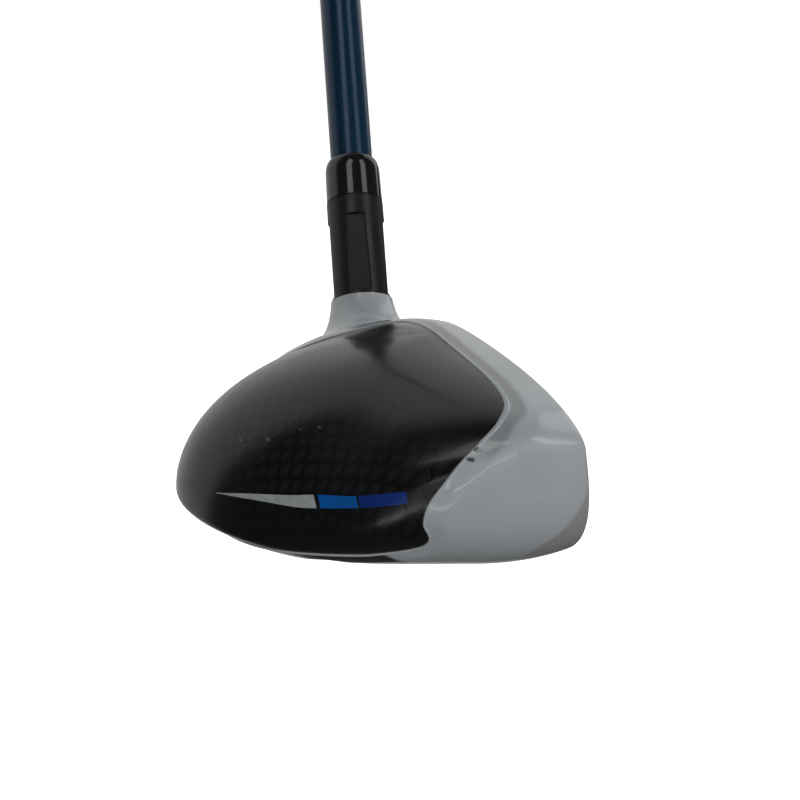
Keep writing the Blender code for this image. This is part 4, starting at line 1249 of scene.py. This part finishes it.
def white_floor():
    """Stage floor that only the camera sees."""
    corners = [(-4, -4, FLOOR_Z), (4, -4, FLOOR_Z), (4, 4, FLOOR_Z), (-4, 4, FLOOR_Z)]
    floor = mesh_object("floor", corners, [(0, 1, 2, 3)])
    finish = Finish("pale_floor", (0.92, 0.92, 0.92), 0.8, emission_strength=FLOOR_GLOW)
    finish.set("Emission Color", (1.0, 1.0, 1.0, 1.0))
    finish.set("Roughness", finish.ramp(finish.noise(40 * MM), 0.3, 0.7, 0.75, 0.9))
    floor.data.materials.append(finish.material)
    floor.visible_glossy = False
    floor.visible_diffuse = False
    floor.visible_shadow = False


def photo_camera():
    camera = bpy.data.cameras.new("camera")
    camera.lens, camera.clip_start = CAMERA_LENS, 0.005
    eye = linked("camera", camera)
    turn = Matrix(CAMERA_TURN).transposed().to_4x4()
    eye.matrix_world = Matrix.Translation(CAMERA_PLACE) @ turn
    bpy.context.scene.camera = eye


# ==== assembly =============================================================================

STEEL = metal_finish("brushed_steel", (0.50, 0.49, 0.47), 0.34)
FACE_STEEL = metal_finish("face_steel", (0.46, 0.455, 0.445), 0.40, grain=(14.0, 1.0, 1.0))
BRASS = metal_finish("turned_brass", (0.62, 0.45, 0.20), 0.32)
SLEEVE_FINISH = polymer_finish("dark_anodised", (0.011, 0.0113, 0.012), 0.32, size=0.3 * MM,
                               depth=0.006 * MM, specular_ior_level=0.4)
POLYMER = polymer_finish("black_polymer", (0.022, 0.022, 0.024), 0.45)


def place_piece(piece, body, slot, finish, *nodes):
    piece.data.materials.clear()
    piece.data.materials.append(finish)
    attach(piece, body)
    if nodes:
        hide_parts(*nodes)


def keep_node(name, finish):
    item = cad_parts[name]
    item.data.materials.clear()
    item.data.materials.append(finish)


def assemble():
    body, panel = painted_head(), crown_panel()
    body_attributes(body.data)
    panel_attributes(panel.data)
    bead = joint_bead()
    paint = head_finish()
    place_piece(body, "head", "body_paint", paint, "head_body")
    store(bead.data, "paint_side", np.ones(len(bead.data.vertices)))
    place_piece(bead, "head", "body_paint", paint)
    place_piece(panel, "head", "crown_black", crown_finish(), "crown_shell")
    place_piece(face_plate(), "head", "bare_steel", FACE_STEEL, "face_insert")
    place_piece(sole_inlay(), "head", "black_polymer", POLYMER, "sole_inlay")
    for name, start, end, finish, colour in STRIPES:
        place_piece(crown_stripe(name, start, end), "head", "crown_black",
                    stripe_finish(finish, colour))
    place_piece(hosel_sleeve(), "club", "sleeve_anodised", SLEEVE_FINISH, "loft_sleeve")
    place_piece(ferrule_ring(), "club", "ferrule_black", polymer_finish(
        "gloss_black", (0.006, 0.006, 0.007), 0.10, depth=0.004 * MM, coat_weight=0.5,
        coat_roughness=0.04), "ferrule")
    place_piece(painted_shaft(), "club", "shaft_navy", shaft_finish(), "shaft")
    rubber = rubber_finish()
    place_piece(rubber_grip(), "club", "grip_rubber", rubber, "grip")
    place_piece(butt_cap(), "club", "grip_rubber", rubber, "grip_cap")
    place_piece(sole_screw(), "screw", "bare_steel", STEEL, "hosel_screw")
    for name, finish in (
            ("slot_insert", POLYMER), ("hosel_insert", STEEL), ("screw_washer", STEEL),
            ("screw_retainer", POLYMER), ("sleeve_thread_insert", BRASS), ("tip_plug", BRASS),
            ("acoustic_pad", polymer_finish("hot_melt", (0.62, 0.54, 0.34), 0.42, size=2 * MM)),
            ("grip_tape", polymer_finish("paper_tape", (0.62, 0.57, 0.44), 0.85, size=0.8 * MM))):
        keep_node(name, finish)


studio()
assemble()
